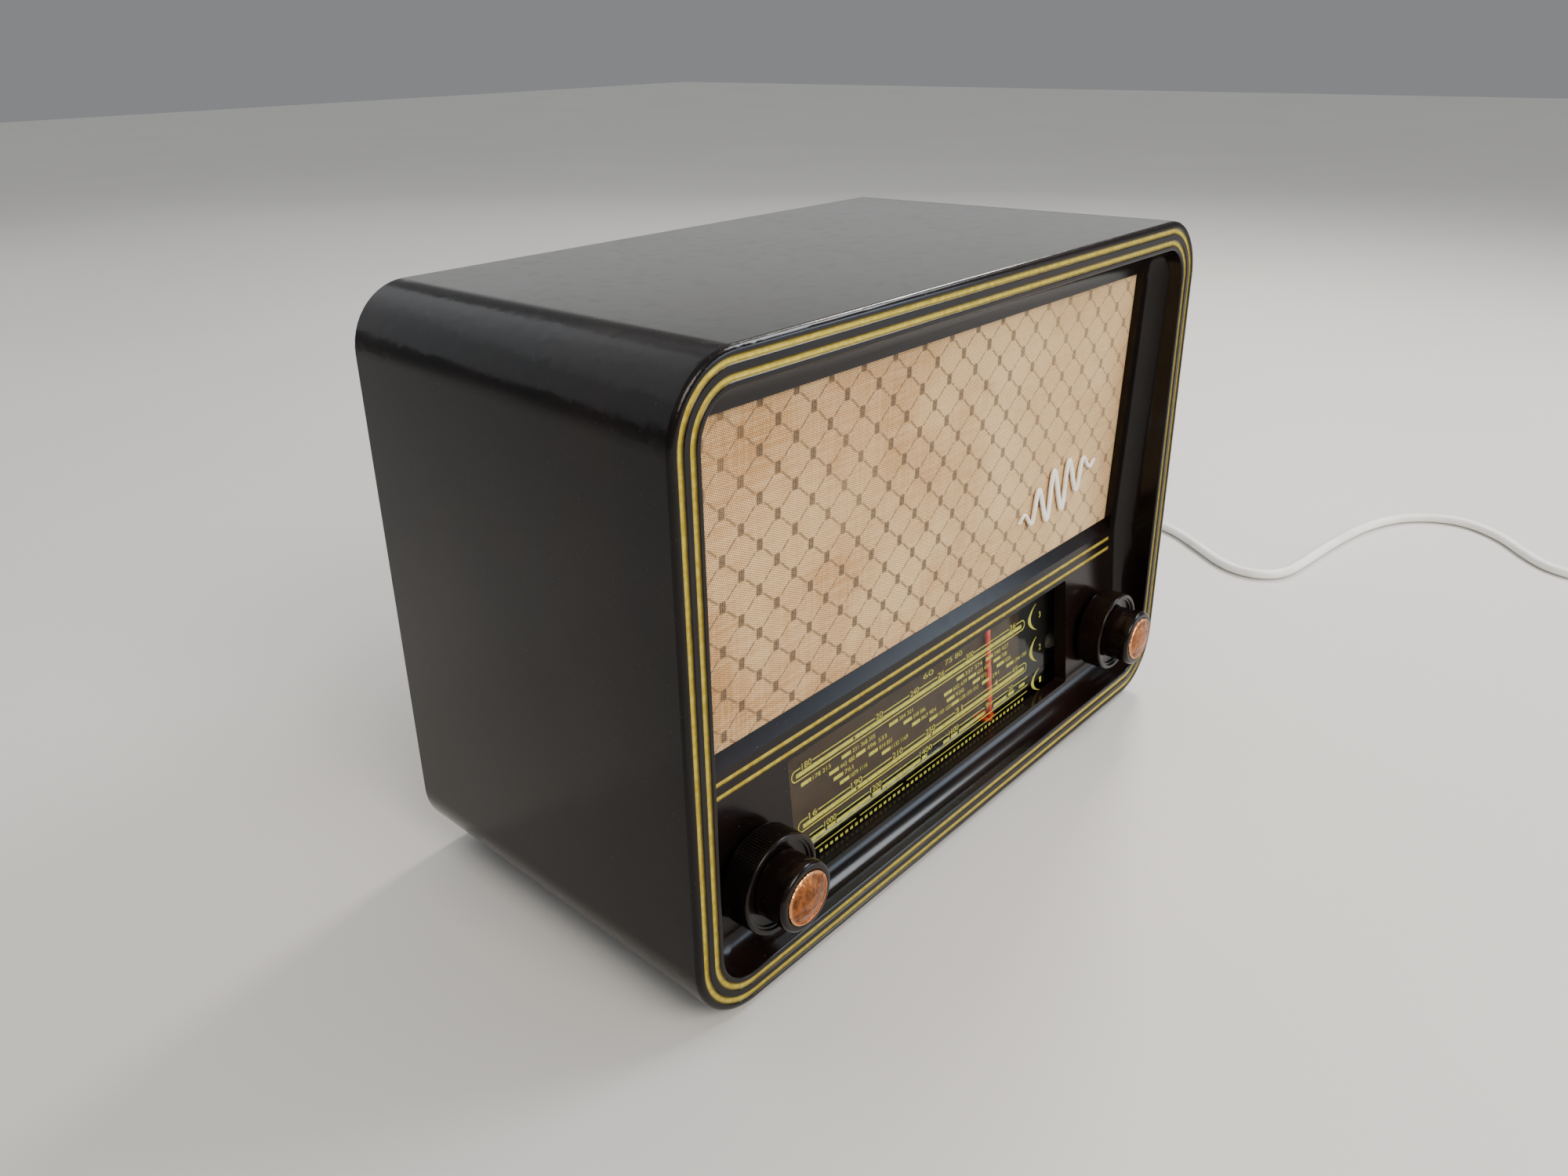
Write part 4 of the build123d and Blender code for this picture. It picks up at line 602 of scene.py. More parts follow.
knob_profile = [
    (3.1, 1.7), (KNOB_RADIUS - 0.9, 1.7), (KNOB_RADIUS - 0.6, 1.3), (KNOB_RADIUS - 0.55, -6.0),
    (KNOB_RADIUS - 0.3, -7.6), (KNOB_RADIUS - 0.05, -8.6),
    *arc_points((KNOB_RADIUS - 1.7, -10.6), 1.7, 0, -90, 10),
    (CAP_RADIUS + 0.55, -12.25),
    *arc_points((CAP_RADIUS + 0.5, -11.95), 0.3, -90, -180, 4),
    (CAP_RADIUS + 0.15, -11.0), (0, -11.0), (0, -8.9), (3.1, -8.9),
]
cap_rim = math.degrees(math.asin((CAP_RADIUS - 0.75) / CAP_SPHERE))
cap_profile = [
    (0, -11.0), (CAP_RADIUS, -11.0),
    (CAP_RADIUS, -12.3),
    *arc_points((CAP_RADIUS - 0.55, -12.35), 0.55, 0, -110, 8),
    *[
        (CAP_SPHERE * math.sin(math.radians(a)), -14.5 + CAP_SPHERE * (1 - math.cos(math.radians(a))))
        for a in [cap_rim * (1 - step / 10) for step in range(11)]
    ],
]
for side_x, ring_name, knob_name in ((-KNOB_X, "tone", "volume"), (KNOB_X, "tuning", "band")):
    ring = keep_piece(
        ring_name + "_ring_turned", turned_mesh(ring_name + "_ring", ring_profile, side_x, KNOB_Z),
        knob_finish, ring_name,
    )
    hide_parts(ring_name + "_ring")
    ribs = run_tree(ring_name + "_ribs", rib_tree, {
        "Count": RIBS, "Rim Radius": (RING_RADIUS - RIB_RADIUS) * MM, "Rib Radius": RIB_RADIUS * MM,
        "Rib Length": 9.0 * MM, "Middle": (side_x, face_y + 6.0 * MM, KNOB_Z), "Finish": knob_finish,
    })
    smooth_mesh(ribs, math.radians(70))
    keep_piece(ring_name + "_ribs", ribs, knob_finish, ring_name)
    knob = keep_piece(
        knob_name + "_knob_turned", turned_mesh(knob_name + "_knob", knob_profile, side_x, KNOB_Z),
        knob_finish, knob_name,
    )
    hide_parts(knob_name + "_knob")
    cap = keep_piece(
        knob_name + "_cap_turned", turned_mesh(knob_name + "_cap", cap_profile, side_x, KNOB_Z),
        copper_finish, knob_name,
    )
    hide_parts(knob_name + "_cap")
print("knobs turned round", round(KNOB_X, 4), round(KNOB_Z, 4))

# %% [markdown]
# ## Grille cloth
# The cloth over the loudspeaker is a close beige weave with a raised lozenge figure. Thick brown
# threads run down to the right, thin dark ones run up to the right, and a small bundle of upright
# threads sits on each crossing. It is stretched on its board, so it is nearly flat: a fine grid with
# a faint unevenness. The figure is worked out from x and z. Two sloping counts, whose whole numbers
# fall on the crossings, give the diagonals and the bundles.

# %% Cloth finish
cloth = Finish("figured_cloth")
where, (x, y, z) = cloth.place()
drift = cloth.noise(where, 16.0, 2.0)
wander = (cloth.noise(where, 55.0, 2.0) - 0.5) * (0.9 * MM)
jitter = (cloth.noise(where, 420.0, 2.0) - 0.5) * (0.45 * MM)
REPEAT_ACROSS, REPEAT_UP = 18.6 * MM, 16.9 * MM
FIGURE_X, FIGURE_Z = -116.3 * MM, 202.3 * MM
across = (x - FIGURE_X + wander) / REPEAT_ACROSS
upward = (z - FIGURE_Z + wander * 0.5 + (x.most(60 * MM) - 60 * MM) * 0.05) / REPEAT_UP
down_right = (across + upward).wrapped(-0.5, 0.5)
up_right = (across - upward).wrapped(-0.5, 0.5)
LOZENGE = 1 / math.hypot(1 / REPEAT_ACROSS, 1 / REPEAT_UP)
off_x = (down_right + up_right) * (REPEAT_ACROSS / 2)
off_z = (down_right - up_right) * (REPEAT_UP / 2)
near_node = (off_z.within(2.1 * MM, 0.8 * MM) * off_x.within(3.0 * MM, 1.2 * MM)).least(1.0)
thick_thread = (down_right * LOZENGE + jitter).within(0.46 * MM, 0.5 * MM) * (1 - near_node)
thin_thread = (up_right * LOZENGE + jitter).within(0.27 * MM, 0.4 * MM) * (1 - near_node)
bundle = (off_x + jitter).within(1.6 * MM, 0.5 * MM) * (off_z + jitter).within(2.25 * MM, 0.7 * MM)
strands = 0.6 + (off_x * (2 * math.pi / (0.86 * MM)) + 1.6).sine().step(-0.6, 0.4) * 0.4
THREAD = 1.22 * MM
lean_one = ((x * 0.9 + z * 0.45) * (2 * math.pi / THREAD) + wander * 900.0).sine()
lean_two = ((z - x * 0.25) * (2 * math.pi / THREAD) + wander * 500.0).sine()
weave = lean_one * lean_two
slub_x = cloth.noise(cloth.stretched(where, (60.0, 60.0, 1300.0)), 1.0, 1.0)
slub_z = cloth.noise(cloth.stretched(where, (1300.0, 60.0, 60.0)), 1.0, 1.0)
fleck = cloth.noise(where, 2200.0, 1.0)
# The ground of the cloth is paler towards the right and in broad patches.
paler_right_and_patches = (x.step(-150 * MM, 130 * MM) * 0.7 + drift.step(0.4, 0.62) * 0.5).least(1.0)
ground = cloth.mix(paler_right_and_patches, srgb(188, 134, 70), srgb(246, 208, 152))
ground = cloth.mix(cloth.noise(where, 34.0, 2.0).step(0.55, 0.75) * 0.55, ground, srgb(186, 138, 84))
ground = cloth.mix((slub_x * 0.55 + slub_z * 0.45).step(0.36, 0.66) * 0.5, ground, srgb(250, 218, 168))
ground = cloth.mix((0.5 - weave * 0.5).step(0.35, 0.80) * 0.95, ground, srgb(136, 96, 50))
ground = cloth.mix(fleck.step(0.6, 0.75) * 0.4, ground, srgb(170, 130, 92))
faded = 1 - cloth.noise(where, 11.0, 1.0).step(0.5, 0.75) * 0.25 - x.step(-40 * MM, 140 * MM) * 0.28
breaks = cloth.noise(where, 900.0, 1.0).step(0.28, 0.40)
figured = cloth.mix(thin_thread * breaks * faded * 0.95, ground, srgb(92, 68, 42))
figured = cloth.mix(thick_thread * breaks * faded * 0.85, figured, srgb(120, 90, 54))
figured = cloth.mix(bundle * strands * faded, figured, srgb(70, 48, 24))
raised = (thick_thread * 0.7 + bundle * strands * 1.0 + thin_thread * 0.3) * 0.8
cloth_finish = cloth.shade(
    Base_Color=figured,
    Roughness=0.86 - (thick_thread + bundle).least(1.0) * 0.1,
    Normal=cloth.bump(weave * 0.45 + raised + slub_x * 0.4, 0.00022),
    Sheen_Weight=0.12,
    Sheen_Roughness=0.5,
    Sheen_Tint=(1.0, 0.93, 0.82),
)

# %% Stretched cloth
cloth_low, cloth_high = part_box("grille_cloth")
CLOTH_THICK, CLOTH_STEP = 0.35 * MM, 3.0 * MM
cloth_half = (cloth_high.x - cloth_low.x) / 2
cloth_bottom = (cloth_low.z - CREASE.z) / math.cos(UPPER_LEAN)
cloth_top = (cloth_high.z - CREASE.z) / math.cos(UPPER_LEAN) - 0.6 * MM
columns = int(2 * cloth_half / CLOTH_STEP)
rows = int((cloth_top - cloth_bottom) / CLOTH_STEP)
picker = random.Random(41)
phases = [picker.uniform(0, 6.283) for _ in range(6)]
work = bmesh.new()
grid = []
for row in range(rows + 1):
    line = []
    for column in range(columns + 1):
        right = -cloth_half + 2 * cloth_half * column / columns
        up = cloth_bottom + (cloth_top - cloth_bottom) * row / rows
        swell = math.sin(right * 41 + phases[0]) * math.sin(up * 53 + phases[1])
        swell += 0.6 * math.sin(right * 97 + up * 30 + phases[2])
        line.append(work.verts.new(cloth_plane @ Vector((right, up, (-0.12 + 0.05 * swell) * MM))))
    grid.append(line)
for low_line, high_line in zip(grid, grid[1:]):
    for column in range(columns):
        work.faces.new((low_line[column], low_line[column + 1], high_line[column + 1], high_line[column]))
cloth_mesh = mesh_from("grille_cloth_woven", work, closed=False)
cloth_mesh.shade_smooth()
cloth_piece = keep_piece("grille_cloth_woven", cloth_mesh, cloth_finish, "root")
wall = cloth_piece.modifiers.new("cloth_thickness", "SOLIDIFY")
wall.thickness, wall.offset = CLOTH_THICK, -1.0
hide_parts("grille_cloth")
print("cloth", round(2 * cloth_half, 4), "by", round(cloth_top - cloth_bottom, 4), "m")

# %% [markdown]
# ## Ornament on the cloth
# A cream stroke stands on the cloth at the right, like one line of a pen: a wave that swells in the
# middle and thins out at its ends. It is swept along the wave by hand: at each point a flat oval
# section stands square to the path, wide in the middle of a downstroke and narrow at the turns.

# %% Cream wave
ORNAMENT_X, ORNAMENT_UP, ORNAMENT_LONG, ORNAMENT_TALL = 94.0, 38.0, 70.0, 12.0
ORNAMENT_WAVES, ORNAMENT_STEPS = 5, 180
tilt = math.radians(11)
path = []
for step in range(ORNAMENT_STEPS + 1):
    share = step / ORNAMENT_STEPS
    along = (share - 0.5) * ORNAMENT_LONG
    rise = ORNAMENT_TALL * math.sin(math.pi * share) * math.sin(2 * math.pi * ORNAMENT_WAVES * share)
    path.append(Vector((
        ORNAMENT_X + along * math.cos(tilt) - rise * math.sin(tilt),
        ORNAMENT_UP + along * math.sin(tilt) + rise * math.cos(tilt),
    )))
rings = []
for step, spot in enumerate(path):
    heading = (path[min(step + 1, ORNAMENT_STEPS)] - path[max(step - 1, 0)]).normalized()
    sideways = Vector((-heading.y, heading.x))
    share = step / ORNAMENT_STEPS
    half = (0.55 + 0.95 * min(1.0, 6 * share * (1 - share))) * (0.72 + 0.28 * abs(heading.y))
    half *= min(1.0, 0.3 + 25 * min(share, 1 - share))
    rings.append([
        cloth_plane @ (Vector((*(spot + sideways * wide), 1.15 + tall)) * MM)
        for wide, tall in oval_points(half, 0.95, 14)
    ])
work = bmesh.new()
add_skin(work, rings)
wave_mesh = mesh_from("cream_wave", work)
cream = Finish("cream_enamel")
where, _ = cream.place()
wear = cream.noise(where, 160.0, 3.0)
cream_finish = cream.shade(
    Base_Color=cream.mix(wear.step(0.4, 0.75), srgb(252, 247, 236), srgb(238, 229, 208)),
    Roughness=0.3 + wear * 0.15, Normal=cream.bump(wear, 0.00005), Coat_Weight=0.4,
)
wave = keep_piece("cream_wave", smooth_mesh(wave_mesh, math.radians(60)), cream_finish, "root")
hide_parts("badge")

# %% [markdown]
# ## Dial
# Behind the glass is a dark plate, and the scales are printed on the glass in lime-yellow, so that a
# lamp behind can light them. Each print is a thin raised shape laid on the front of the glass. Three
# scales with a thick bar run across, and rows of dashes mark stations. The numbers are plain, and
# stand in for the place names that a scale of this kind carries.

# %% Glass, plate and print finishes
glass = Finish("dial_glass")
where, _ = glass.place()
smears = glass.noise(where, 60.0, 3.0)
clear = glass.node("ShaderNodeBsdfTransparent", {}, (0.93, 0.94, 0.92, 1.0))
gloss = glass.node("ShaderNodeBsdfGlossy", {}, Color=(1.0, 1.0, 1.0, 1.0), Roughness=0.04 + smears * 0.05)
grazing = glass.node("ShaderNodeLayerWeight", {}, out="Facing")
inside = glass.node("ShaderNodeNewGeometry", {}, out="Backfacing")
shine = (0.012 + grazing ** 5 * 0.8) * (1 - inside) * (0.8 + smears * 0.4)
glass.tree.links.new(
    glass.node("ShaderNodeMixShader", {}, shine, clear, gloss).socket, glass.output.inputs[0]
)
plate = Finish("dial_plate")
where, (x, y, z) = plate.place()
mottle = plate.noise(where, 90.0, 4.0, 0.6)
brown = plate.mix(mottle.step(0.3, 0.7), srgb(58, 40, 23), srgb(70, 50, 29))
brown = plate.mix((x - 80 * MM).step(0, 3 * MM), brown, srgb(12, 11, 11))
below = 1 - (z - (CREASE.z - 60.6 * MM)).step(-0.4 * MM, 0.4 * MM)
plate_finish = plate.shade(
    Base_Color=plate.mix(below, brown, srgb(21, 26, 18)), Roughness=0.55 + mottle * 0.15,
    Normal=plate.bump(mottle, 0.0001),
)
ink = Finish("scale_ink")
where, _ = ink.place()
wear = ink.noise(where, 700.0, 3.0)
ink_finish = ink.shade(
    Base_Color=ink.mix(wear.step(0.35, 0.75), srgb(184, 180, 62), srgb(146, 141, 44)), Roughness=0.6,
    Normal=ink.bump(wear, 0.00003),
)
dark_ink = Finish("scale_dark_ink")
where, _ = dark_ink.place()
dark_ink_finish = dark_ink.shade(
    Base_Color=dark_ink.mix(dark_ink.noise(where, 500.0), srgb(34, 28, 18), srgb(50, 40, 26)), Roughness=0.6
)

# %% Printing tools
INK_THICK = 0.03
glass_front = front_panel(LOWER_LEAN, DIAL_WALL - 0.01)


class Print:
    """Thin shapes laid on the front of the dial glass; sizes in millimetres, up from the crease."""

    def __init__(self):
        self.work = bmesh.new()

    def slab(self, outline):
        """A closed thin solid from a convex outline that runs anticlockwise."""
        low = [self.work.verts.new((x * MM, up * MM, 0)) for x, up in outline]
        high = [self.work.verts.new((x * MM, up * MM, INK_THICK * MM)) for x, up in outline]
        self.work.faces.new(high)
        self.work.faces.new(low[::-1])
        for step, corner in enumerate(low):
            after = (step + 1) % len(low)
            self.work.faces.new((corner, low[after], high[after], high[step]))

    def bar(self, left, right, up, thick):
        self.slab([
            (left, up - thick / 2), (right, up - thick / 2), (right, up + thick / 2), (left, up + thick / 2)
        ])

    def line_with_gaps(self, left, right, up, thick, gaps):
        for gap_left, gap_right in [*gaps, (right, right)]:
            if gap_left > left:
                self.bar(left, gap_left, up, thick)
            left = gap_right

    def strip(self, inner, outer):
        """A curved band between two lists of points."""
        for step in range(len(inner) - 1):
            self.slab([inner[step], outer[step], outer[step + 1], inner[step + 1]])

    def dot(self, x, up, radius):
        turns = [2 * math.pi * step / 16 for step in range(16)]
        self.slab([(x + radius * math.cos(a), up + radius * math.sin(a)) for a in turns])

    def number(self, words, left, right, up, height):
        """A numeral between two places, its middle at up."""
        text = bpy.data.curves.new("numeral", "FONT")
        text.body, text.size, text.extrude = words, 1.0, 0.0
        holder = add_object("numeral", text)
        bpy.context.view_layer.update()
        flat = bpy.data.meshes.new_from_object(holder.evaluated_get(bpy.context.evaluated_depsgraph_get()))
        bpy.data.objects.remove(holder)
        wide = [c.co.x for c in flat.vertices]
        tall = [c.co.y for c in flat.vertices]
        stretch_x = (right - left) / (max(wide) - min(wide))
        stretch_y = height / (max(tall) - min(tall))
        for corner in flat.vertices:
            corner.co.x = (left + (corner.co.x - min(wide)) * stretch_x) * MM
            corner.co.y = (up + (corner.co.y - (min(tall) + max(tall)) / 2) * stretch_y) * MM
            corner.co.z = INK_THICK * MM
        self.work.from_mesh(flat)
        bpy.data.meshes.remove(flat)

    def piece(self, name, material, slot="dial_plate", lift=0.0):
        self.work.transform(glass_front @ Matrix.Translation((0, 0, lift * MM)))
        return keep_piece(name, mesh_from(name, self.work, closed=False), material, "root")


# %% Scales and station rows
scales = Print()
dark_marks = Print()
NUMERAL, THIN, BAR = 2.6, 0.5, 1.8


def scale(top, bottom, outline, bar_up, bar_ends, labels):
    """One scale: a thin box with round ends, a thick bar in it, and numbers that break its top line."""
    left, right = outline
    reach = (top - bottom) / 2
    gaps = [(a - 0.7, b + 0.7) for a, b, _ in labels]
    scales.line_with_gaps(left + reach, right - reach, top, THIN, gaps)
    scales.bar(left + reach, right - reach, bottom, THIN)
    for centre, first in ((left + reach, 90), (right - reach, -90)):
        turns = [math.radians(first + 15 * step) for step in range(13)]
        middle = (top + bottom) / 2
        bands = [
            [(centre + radius * math.cos(a), middle + radius * math.sin(a)) for a in turns]
            for radius in (reach - THIN / 2, reach + THIN / 2)
        ]
        scales.strip(*bands)
    scales.bar(*bar_ends, bar_up, BAR)
    for a, b, words in labels:
        scales.number(words, a, b, top + 0.1, NUMERAL)


scale(-23.4, -28.2, (-97.7, 77.0), -26.0, (-95.1, 74.0), (
    (-91.3, -85.4, "180"), (-43.0, -38.2, "20"), (-18.2, -11.8, "240"), (2.9, 7.9, "26"),
    (25.7, 31.8, "300"), (63.6, 68.9, "36"),
))
scale(-46.4, -51.1, (-96.4, 78.2), -49.1, (-93.6, 75.7), (
    (-89.6, -84.5, "16"), (-62.2, -54.7, "190"), (-33.1, -25.8, "210"), (-8.2, -1.0, "250"),
    (15.4, 21.3, "31"), (48.0, 52.0, "4"), (65.0, 70.0, "49"),
))
top_labels = (
    (-80.8, -73.0, "1000"), (-49.8, -42.0, "1200"), (-13.5, -4.0, "1400"), (9.6, 17.5, "1600"),
    (40.7, 43.6, "9"), (61.4, 65.4, "20"),
)
scales.line_with_gaps(-90.5, 79.1, -54.8, THIN, [(a - 0.7, b + 0.7) for a, b, _ in top_labels])
scales.bar(-90.5, 79.1, -59.4, THIN)
for a, b, words in top_labels:
    scales.number(words, a, b, -54.7, NUMERAL)
for a, b in (
    (-89.3, -80.4), (-79.1, -73.8), (-73.0, -50.1), (-48.7, -42.7), (-41.4, -13.1), (-11.8, -8.0),
    (5.0, 10.0), (11.3, 16.4), (17.9, 40.0), (47.9, 59.6), (61.0, 66.4), (71.0, 76.4),
):
    scales.bar(a, b, -57.4, 1.6)
for a, b, words in ((-8.2, -0.4, "60"), (8.9, 22.5, "75 80")):
    scales.number(words, a, b, -19.3, 2.4)
scales.line_with_gaps(-87.5, 78.6, -62.6, 0.4, ((-60.5, -57.8), (-27.0, -24.0)))
for step in range(48):
    scales.bar(-84.9 + 3.36 * step, -83.1 + 3.36 * step, -65.3, 1.3)
stations = {
    -31.0: ((-92.6, -74.0), (-66.9, -44.3), (-34.3, -17.0), (17.3, 38.9), (42.0, 62.0)),
    -34.5: ((-75.4, -58.6), (-57.5, -36.4), (-24.1, -7.7), (7.1, 25.7), (27.1, 45.7), (48.6, 60.4)),
    -38.1: ((-72.9, -60.0), (-49.2, -33.0), (-18.2, 0.4), (9.0, 22.9), (30.4, 42.0), (51.4, 64.0)),
    -41.6: ((-69.2, -50.7), (-40.4, -21.5), (-5.0, 12.0), (12.5, 35.0), (38.3, 53.0), (60.0, 78.3)),
}
counting = 141
for up, runs in stations.items():
    for left, right in runs:
        scales.bar(left, left + 6.2, up, 1.6)
        names = max(1, round((right - left - 7) / 6))
        words = " ".join(str(counting + 37 * step) for step in range(1, 1 + names))
        counting += 53
        if right - left > 9:
            scales.number(words, left + 7.2, right, up, 1.9)
for spot, up in ((-58.1, -26.0), (-58.6, -49.1), (-3.9, -49.1)):
    dark_marks.dot(spot, up, 0.75)
for top, bottom, left, right in (
    (-19.4, -33.0, 80.7, 88.2), (-36.9, -50.1, 81.6, 88.2), (-54.8, -66.9, 82.9, 90.7)
):
    inner, outer = [], []
    for step in range(13):
        share = step / 12
        bow = math.sin(math.pi * share)
        up = top + (bottom - top) * share
        outer.append((right - (right - left) * bow ** 0.8 - 0.25, up))
        inner.append((right - (right - left) * bow ** 0.8 + 0.25 + 2.0 * bow, up))
    scales.strip(outer, inner)
for words, up in (("3", -20.6), ("2", -38.0), ("1", -55.8)):
    scales.number(words, 90.6, 92.4, up - 5.6, 3.0)
print_piece = scales.piece("dial_print", ink_finish)
dark_marks.piece("dial_print_dots", dark_ink_finish, lift=0.02)
print("print faces", len(print_piece.data.polygons))
finish_node("dial_glass", glass.material)
finish_node("dial_back_plate", plate_finish)

# %% [markdown]
# ## Pointer
# The pointer is a slim red rod behind the glass, on the carriage that the dial cord pulls. It rides
# on the carriage's body, so it goes with it along the scale.

# %% Pointer rod
red = Finish("pointer_enamel")
where, (x, y, z) = red.place()
chips = red.noise(where, 400.0, 3.0)
top_end = (z - (CREASE.z - 24 * MM)).step(0, 6 * MM)
pointer_finish = red.shade(
    Base_Color=red.mix(
        top_end, red.mix(chips.step(0.4, 0.7), srgb(232, 74, 40), srgb(208, 56, 30)), srgb(240, 98, 92)
    ),
    Roughness=0.32 + chips * 0.15, Normal=red.bump(chips, 0.00005), Coat_Weight=0.3,
)
low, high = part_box("dial_pointer")
POINTER_HALF_WIDE, POINTER_HALF_DEEP, POINTER_BEHIND = 1.48, 1.05, DIAL_WALL + GLASS_THICK + 1.2 + 1.1
POINTER_X = (low.x + high.x) / 2 / MM
rod_place = front_panel(LOWER_LEAN, POINTER_BEHIND)
rod_top = (high.z - CREASE.z) / math.cos(LOWER_LEAN) / MM - 1.3
rod_foot = (low.z - CREASE.z) / math.cos(LOWER_LEAN) / MM + 0.8
rod_sections = (
    (0.7, rod_foot), (1.0, rod_foot + 0.3), (1.0, rod_top - 0.9), (0.8, rod_top - 0.35), (0.45, rod_top)
)
work = bmesh.new()
add_skin(work, [
    [
        rod_place @ (Vector((POINTER_X + wide, up, deep)) * MM)
        for wide, deep in oval_points(POINTER_HALF_WIDE * size, POINTER_HALF_DEEP * size, 24, 2 / 0.7)
    ]
    for size, up in rod_sections
])
foot_y = (rod_place @ Vector((0, rod_foot * MM, 0))).y
foot = bmesh.ops.create_cube(work, size=1.0)["verts"]
bmesh.ops.scale(work, verts=foot, vec=((high.x - low.x) * 0.98, high.y - foot_y, 1.6 * MM))
bmesh.ops.translate(
    work, verts=foot, vec=((low.x + high.x) / 2, (high.y + foot_y) / 2, low.z + 1.05 * MM)
)
rod_mesh = smooth_mesh(mesh_from("pointer_rod", work))
rod = keep_piece("pointer_rod", rod_mesh, pointer_finish, "pointer")
soft_edge = rod.modifiers.new("soft_edges", "BEVEL")
soft_edge.width, soft_edge.segments, soft_edge.limit_method = 0.15 * MM, 2, "ANGLE"
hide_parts("dial_pointer")

# %% [markdown]
# ## Mains lead
# The white lead leaves the back, drops to the table, runs round behind the set to its right and
# crosses the table in front. What is left over lies in a small coil beside the set with its plug.
# One smooth NURBS curve follows the route. Its first points go straight out and down, and the
# coil's turns are more points of the same curve: an outer and an inner turn on the table, then the
# same again on top of them.


# %% Lead
LEAD_RADIUS = 3.0
LEAD_ROUTE = [
    (118, 123.75, 30), (118, 143, 30), (120, 168, 17), (134, 200, 3.2), (158, 226, 3.2), (198, 238, 3.2),
    (244, 226, 3.2), (290, 190, 3.2), (332, 142, 3.2), (368, 88, 3.2), (389, 42, 3.2), (386, 4, 3.2),
    (364, -27, 3.2), (343, -54, 3.2), (341, -75, 3.2), (354, -89, 3.2), (383, -92, 3.2), (430, -96, 3.2),
    (476, -104, 3.2), (509, -121, 3.2), (523, -150, 3.2), (509, -179, 3.2), (482, -201, 3.2),
    (466, -219, 3.2), (464, -244, 3.2),
]
COIL_X, COIL_Y, COIL_OUTER, COIL_INNER, COIL_FLOOR, COIL_TOP = 440, -288, 36.2, 30.0, 3.2, 9.3


def coil_place(angle):
    """Radius and height of the wound lead at an angle in degrees, which falls as it winds."""
    def ease(start, end):
        share = min(1, max(0, (start - angle) / (start - end)))
        return share * share * (3 - 2 * share)

    inward, outward = ease(-270, -330), ease(-900, -960)
    radius = COIL_OUTER + (COIL_INNER - COIL_OUTER) * (inward - outward)
    return radius, COIL_FLOOR + (COIL_TOP - COIL_FLOOR) * ease(-600, -660)


route = list(LEAD_ROUTE)
COIL_STEP, COIL_POINTS = 24, 50
for step in range(COIL_POINTS):
    angle = COIL_STEP * (1 - step)
    radius, height = coil_place(angle)
    turn = math.radians(angle)
    hull = radius / math.cos(math.radians(COIL_STEP / 2)) ** 0.5
    route.append((COIL_X + hull * math.cos(turn), COIL_Y + hull * math.sin(turn), height))
route += [(436, -324.6, 9.4), (426, -324.2, 8.9), (417, -324, 7.2), (408, -324, 7.0)]
lead_curve = bpy.data.curves.new("mains_lead", "CURVE")
lead_curve.dimensions, lead_curve.resolution_u = "3D", 6
line = lead_curve.splines.new("NURBS")
line.points.add(len(route) - 1)
for point, spot in zip(line.points, route):
    point.co = (*(c * MM for c in spot), 1.0)
line.order_u, line.use_endpoint_u = 3, True
bare = add_object("lead_line", lead_curve)
bpy.context.view_layer.update()
centre_line = bpy.data.meshes.new_from_object(bare.evaluated_get(bpy.context.evaluated_depsgraph_get()))
bpy.data.objects.remove(bare)
lead_curve.bevel_depth, lead_curve.bevel_resolution, lead_curve.use_fill_caps = LEAD_RADIUS * MM, 5, True
white = Finish("white_lead_sheath")
where, (x, y, z) = white.place()
grime = white.noise(where, 45.0, 4.0, 0.6)
lead_finish = white.shade(
    Base_Color=white.mix(grime.step(0.35, 0.8), srgb(250, 248, 243), srgb(232, 228, 218)),
    Roughness=0.38 + grime * 0.16, Normal=white.bump(white.noise(where, 500.0, 2.0), 0.00006),
    Subsurface_Weight=0.08, Subsurface_Radius=(0.004, 0.003, 0.002), Subsurface_Scale=0.5,
)
lead_curve.materials.append(lead_finish)
lead = add_object("mains_lead", lead_curve)
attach(lead, "root")
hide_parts("mains_cord", "mains_cord_coil")


# %% [markdown]
# ## Plug and sleeve
# Soft moulded parts such as a plug or the ribbed sleeve at a cable's exit are lofts: one rounded
# section after another along an axis, growing and shrinking. `lofted` takes each section's place,
# half sizes and squareness, and joins them. A Subdivision Surface would round the ribs away, so the
# sections are close together instead.


# %% Loft and plug
def lofted(name, sections, axis, material, corners=48):
    """Solid along x (axis 0) or y (axis 1); each section is its place along the axis, its half
    width, half height, height above the table, squareness and place sideways."""
    rings = []
    for along, half_wide, half_tall, height, square, aside in sections:
        flat = oval_points(half_wide, half_tall, corners, square)
        oval = [(wide + aside, tall + height) for wide, tall in flat]
        rings.append([
            Vector((along, wide, tall) if axis == 0 else (wide, along, tall)) * MM for wide, tall in oval
        ])
    work = bmesh.new()
    add_skin(work, rings)
    mesh = smooth_mesh(mesh_from(name, work), math.radians(45))
    return keep_piece(name, mesh, material, "root")


plug_low, plug_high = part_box("plug_body")
plug_y = (plug_low.y + plug_high.y) / 2 / MM
plug_z = (plug_low.z + plug_high.z) / 2 / MM
plug_back, plug_face = plug_high.x / MM, plug_low.x / MM
plug_wide, plug_tall = (plug_high.y - plug_low.y) / 2 / MM, (plug_high.z - plug_low.z) / 2 / MM
sections = []
for rib in range(4):
    along = plug_back - 0.2 - rib * 2.6
    grown = 4.0 + rib * 0.35
    for shift, size in ((0, 0.0), (0.35, 0.45), (1.3, 0.45), (1.65, 0.0)):
        sections.append((along - shift, grown - 0.45 + size, grown - 0.45 + size, plug_z, 2, plug_y))
for share in [step / 10 for step in range(11)]:
    ease = share * share * (3 - 2 * share)
    sections.append((
        plug_back - 10.6 - share * 17.4, 5.0 + (plug_wide - 5.6) * ease, 5.0 + (plug_tall - 5.2) * ease,
        plug_z, 2 + 2.4 * ease, plug_y,
    ))
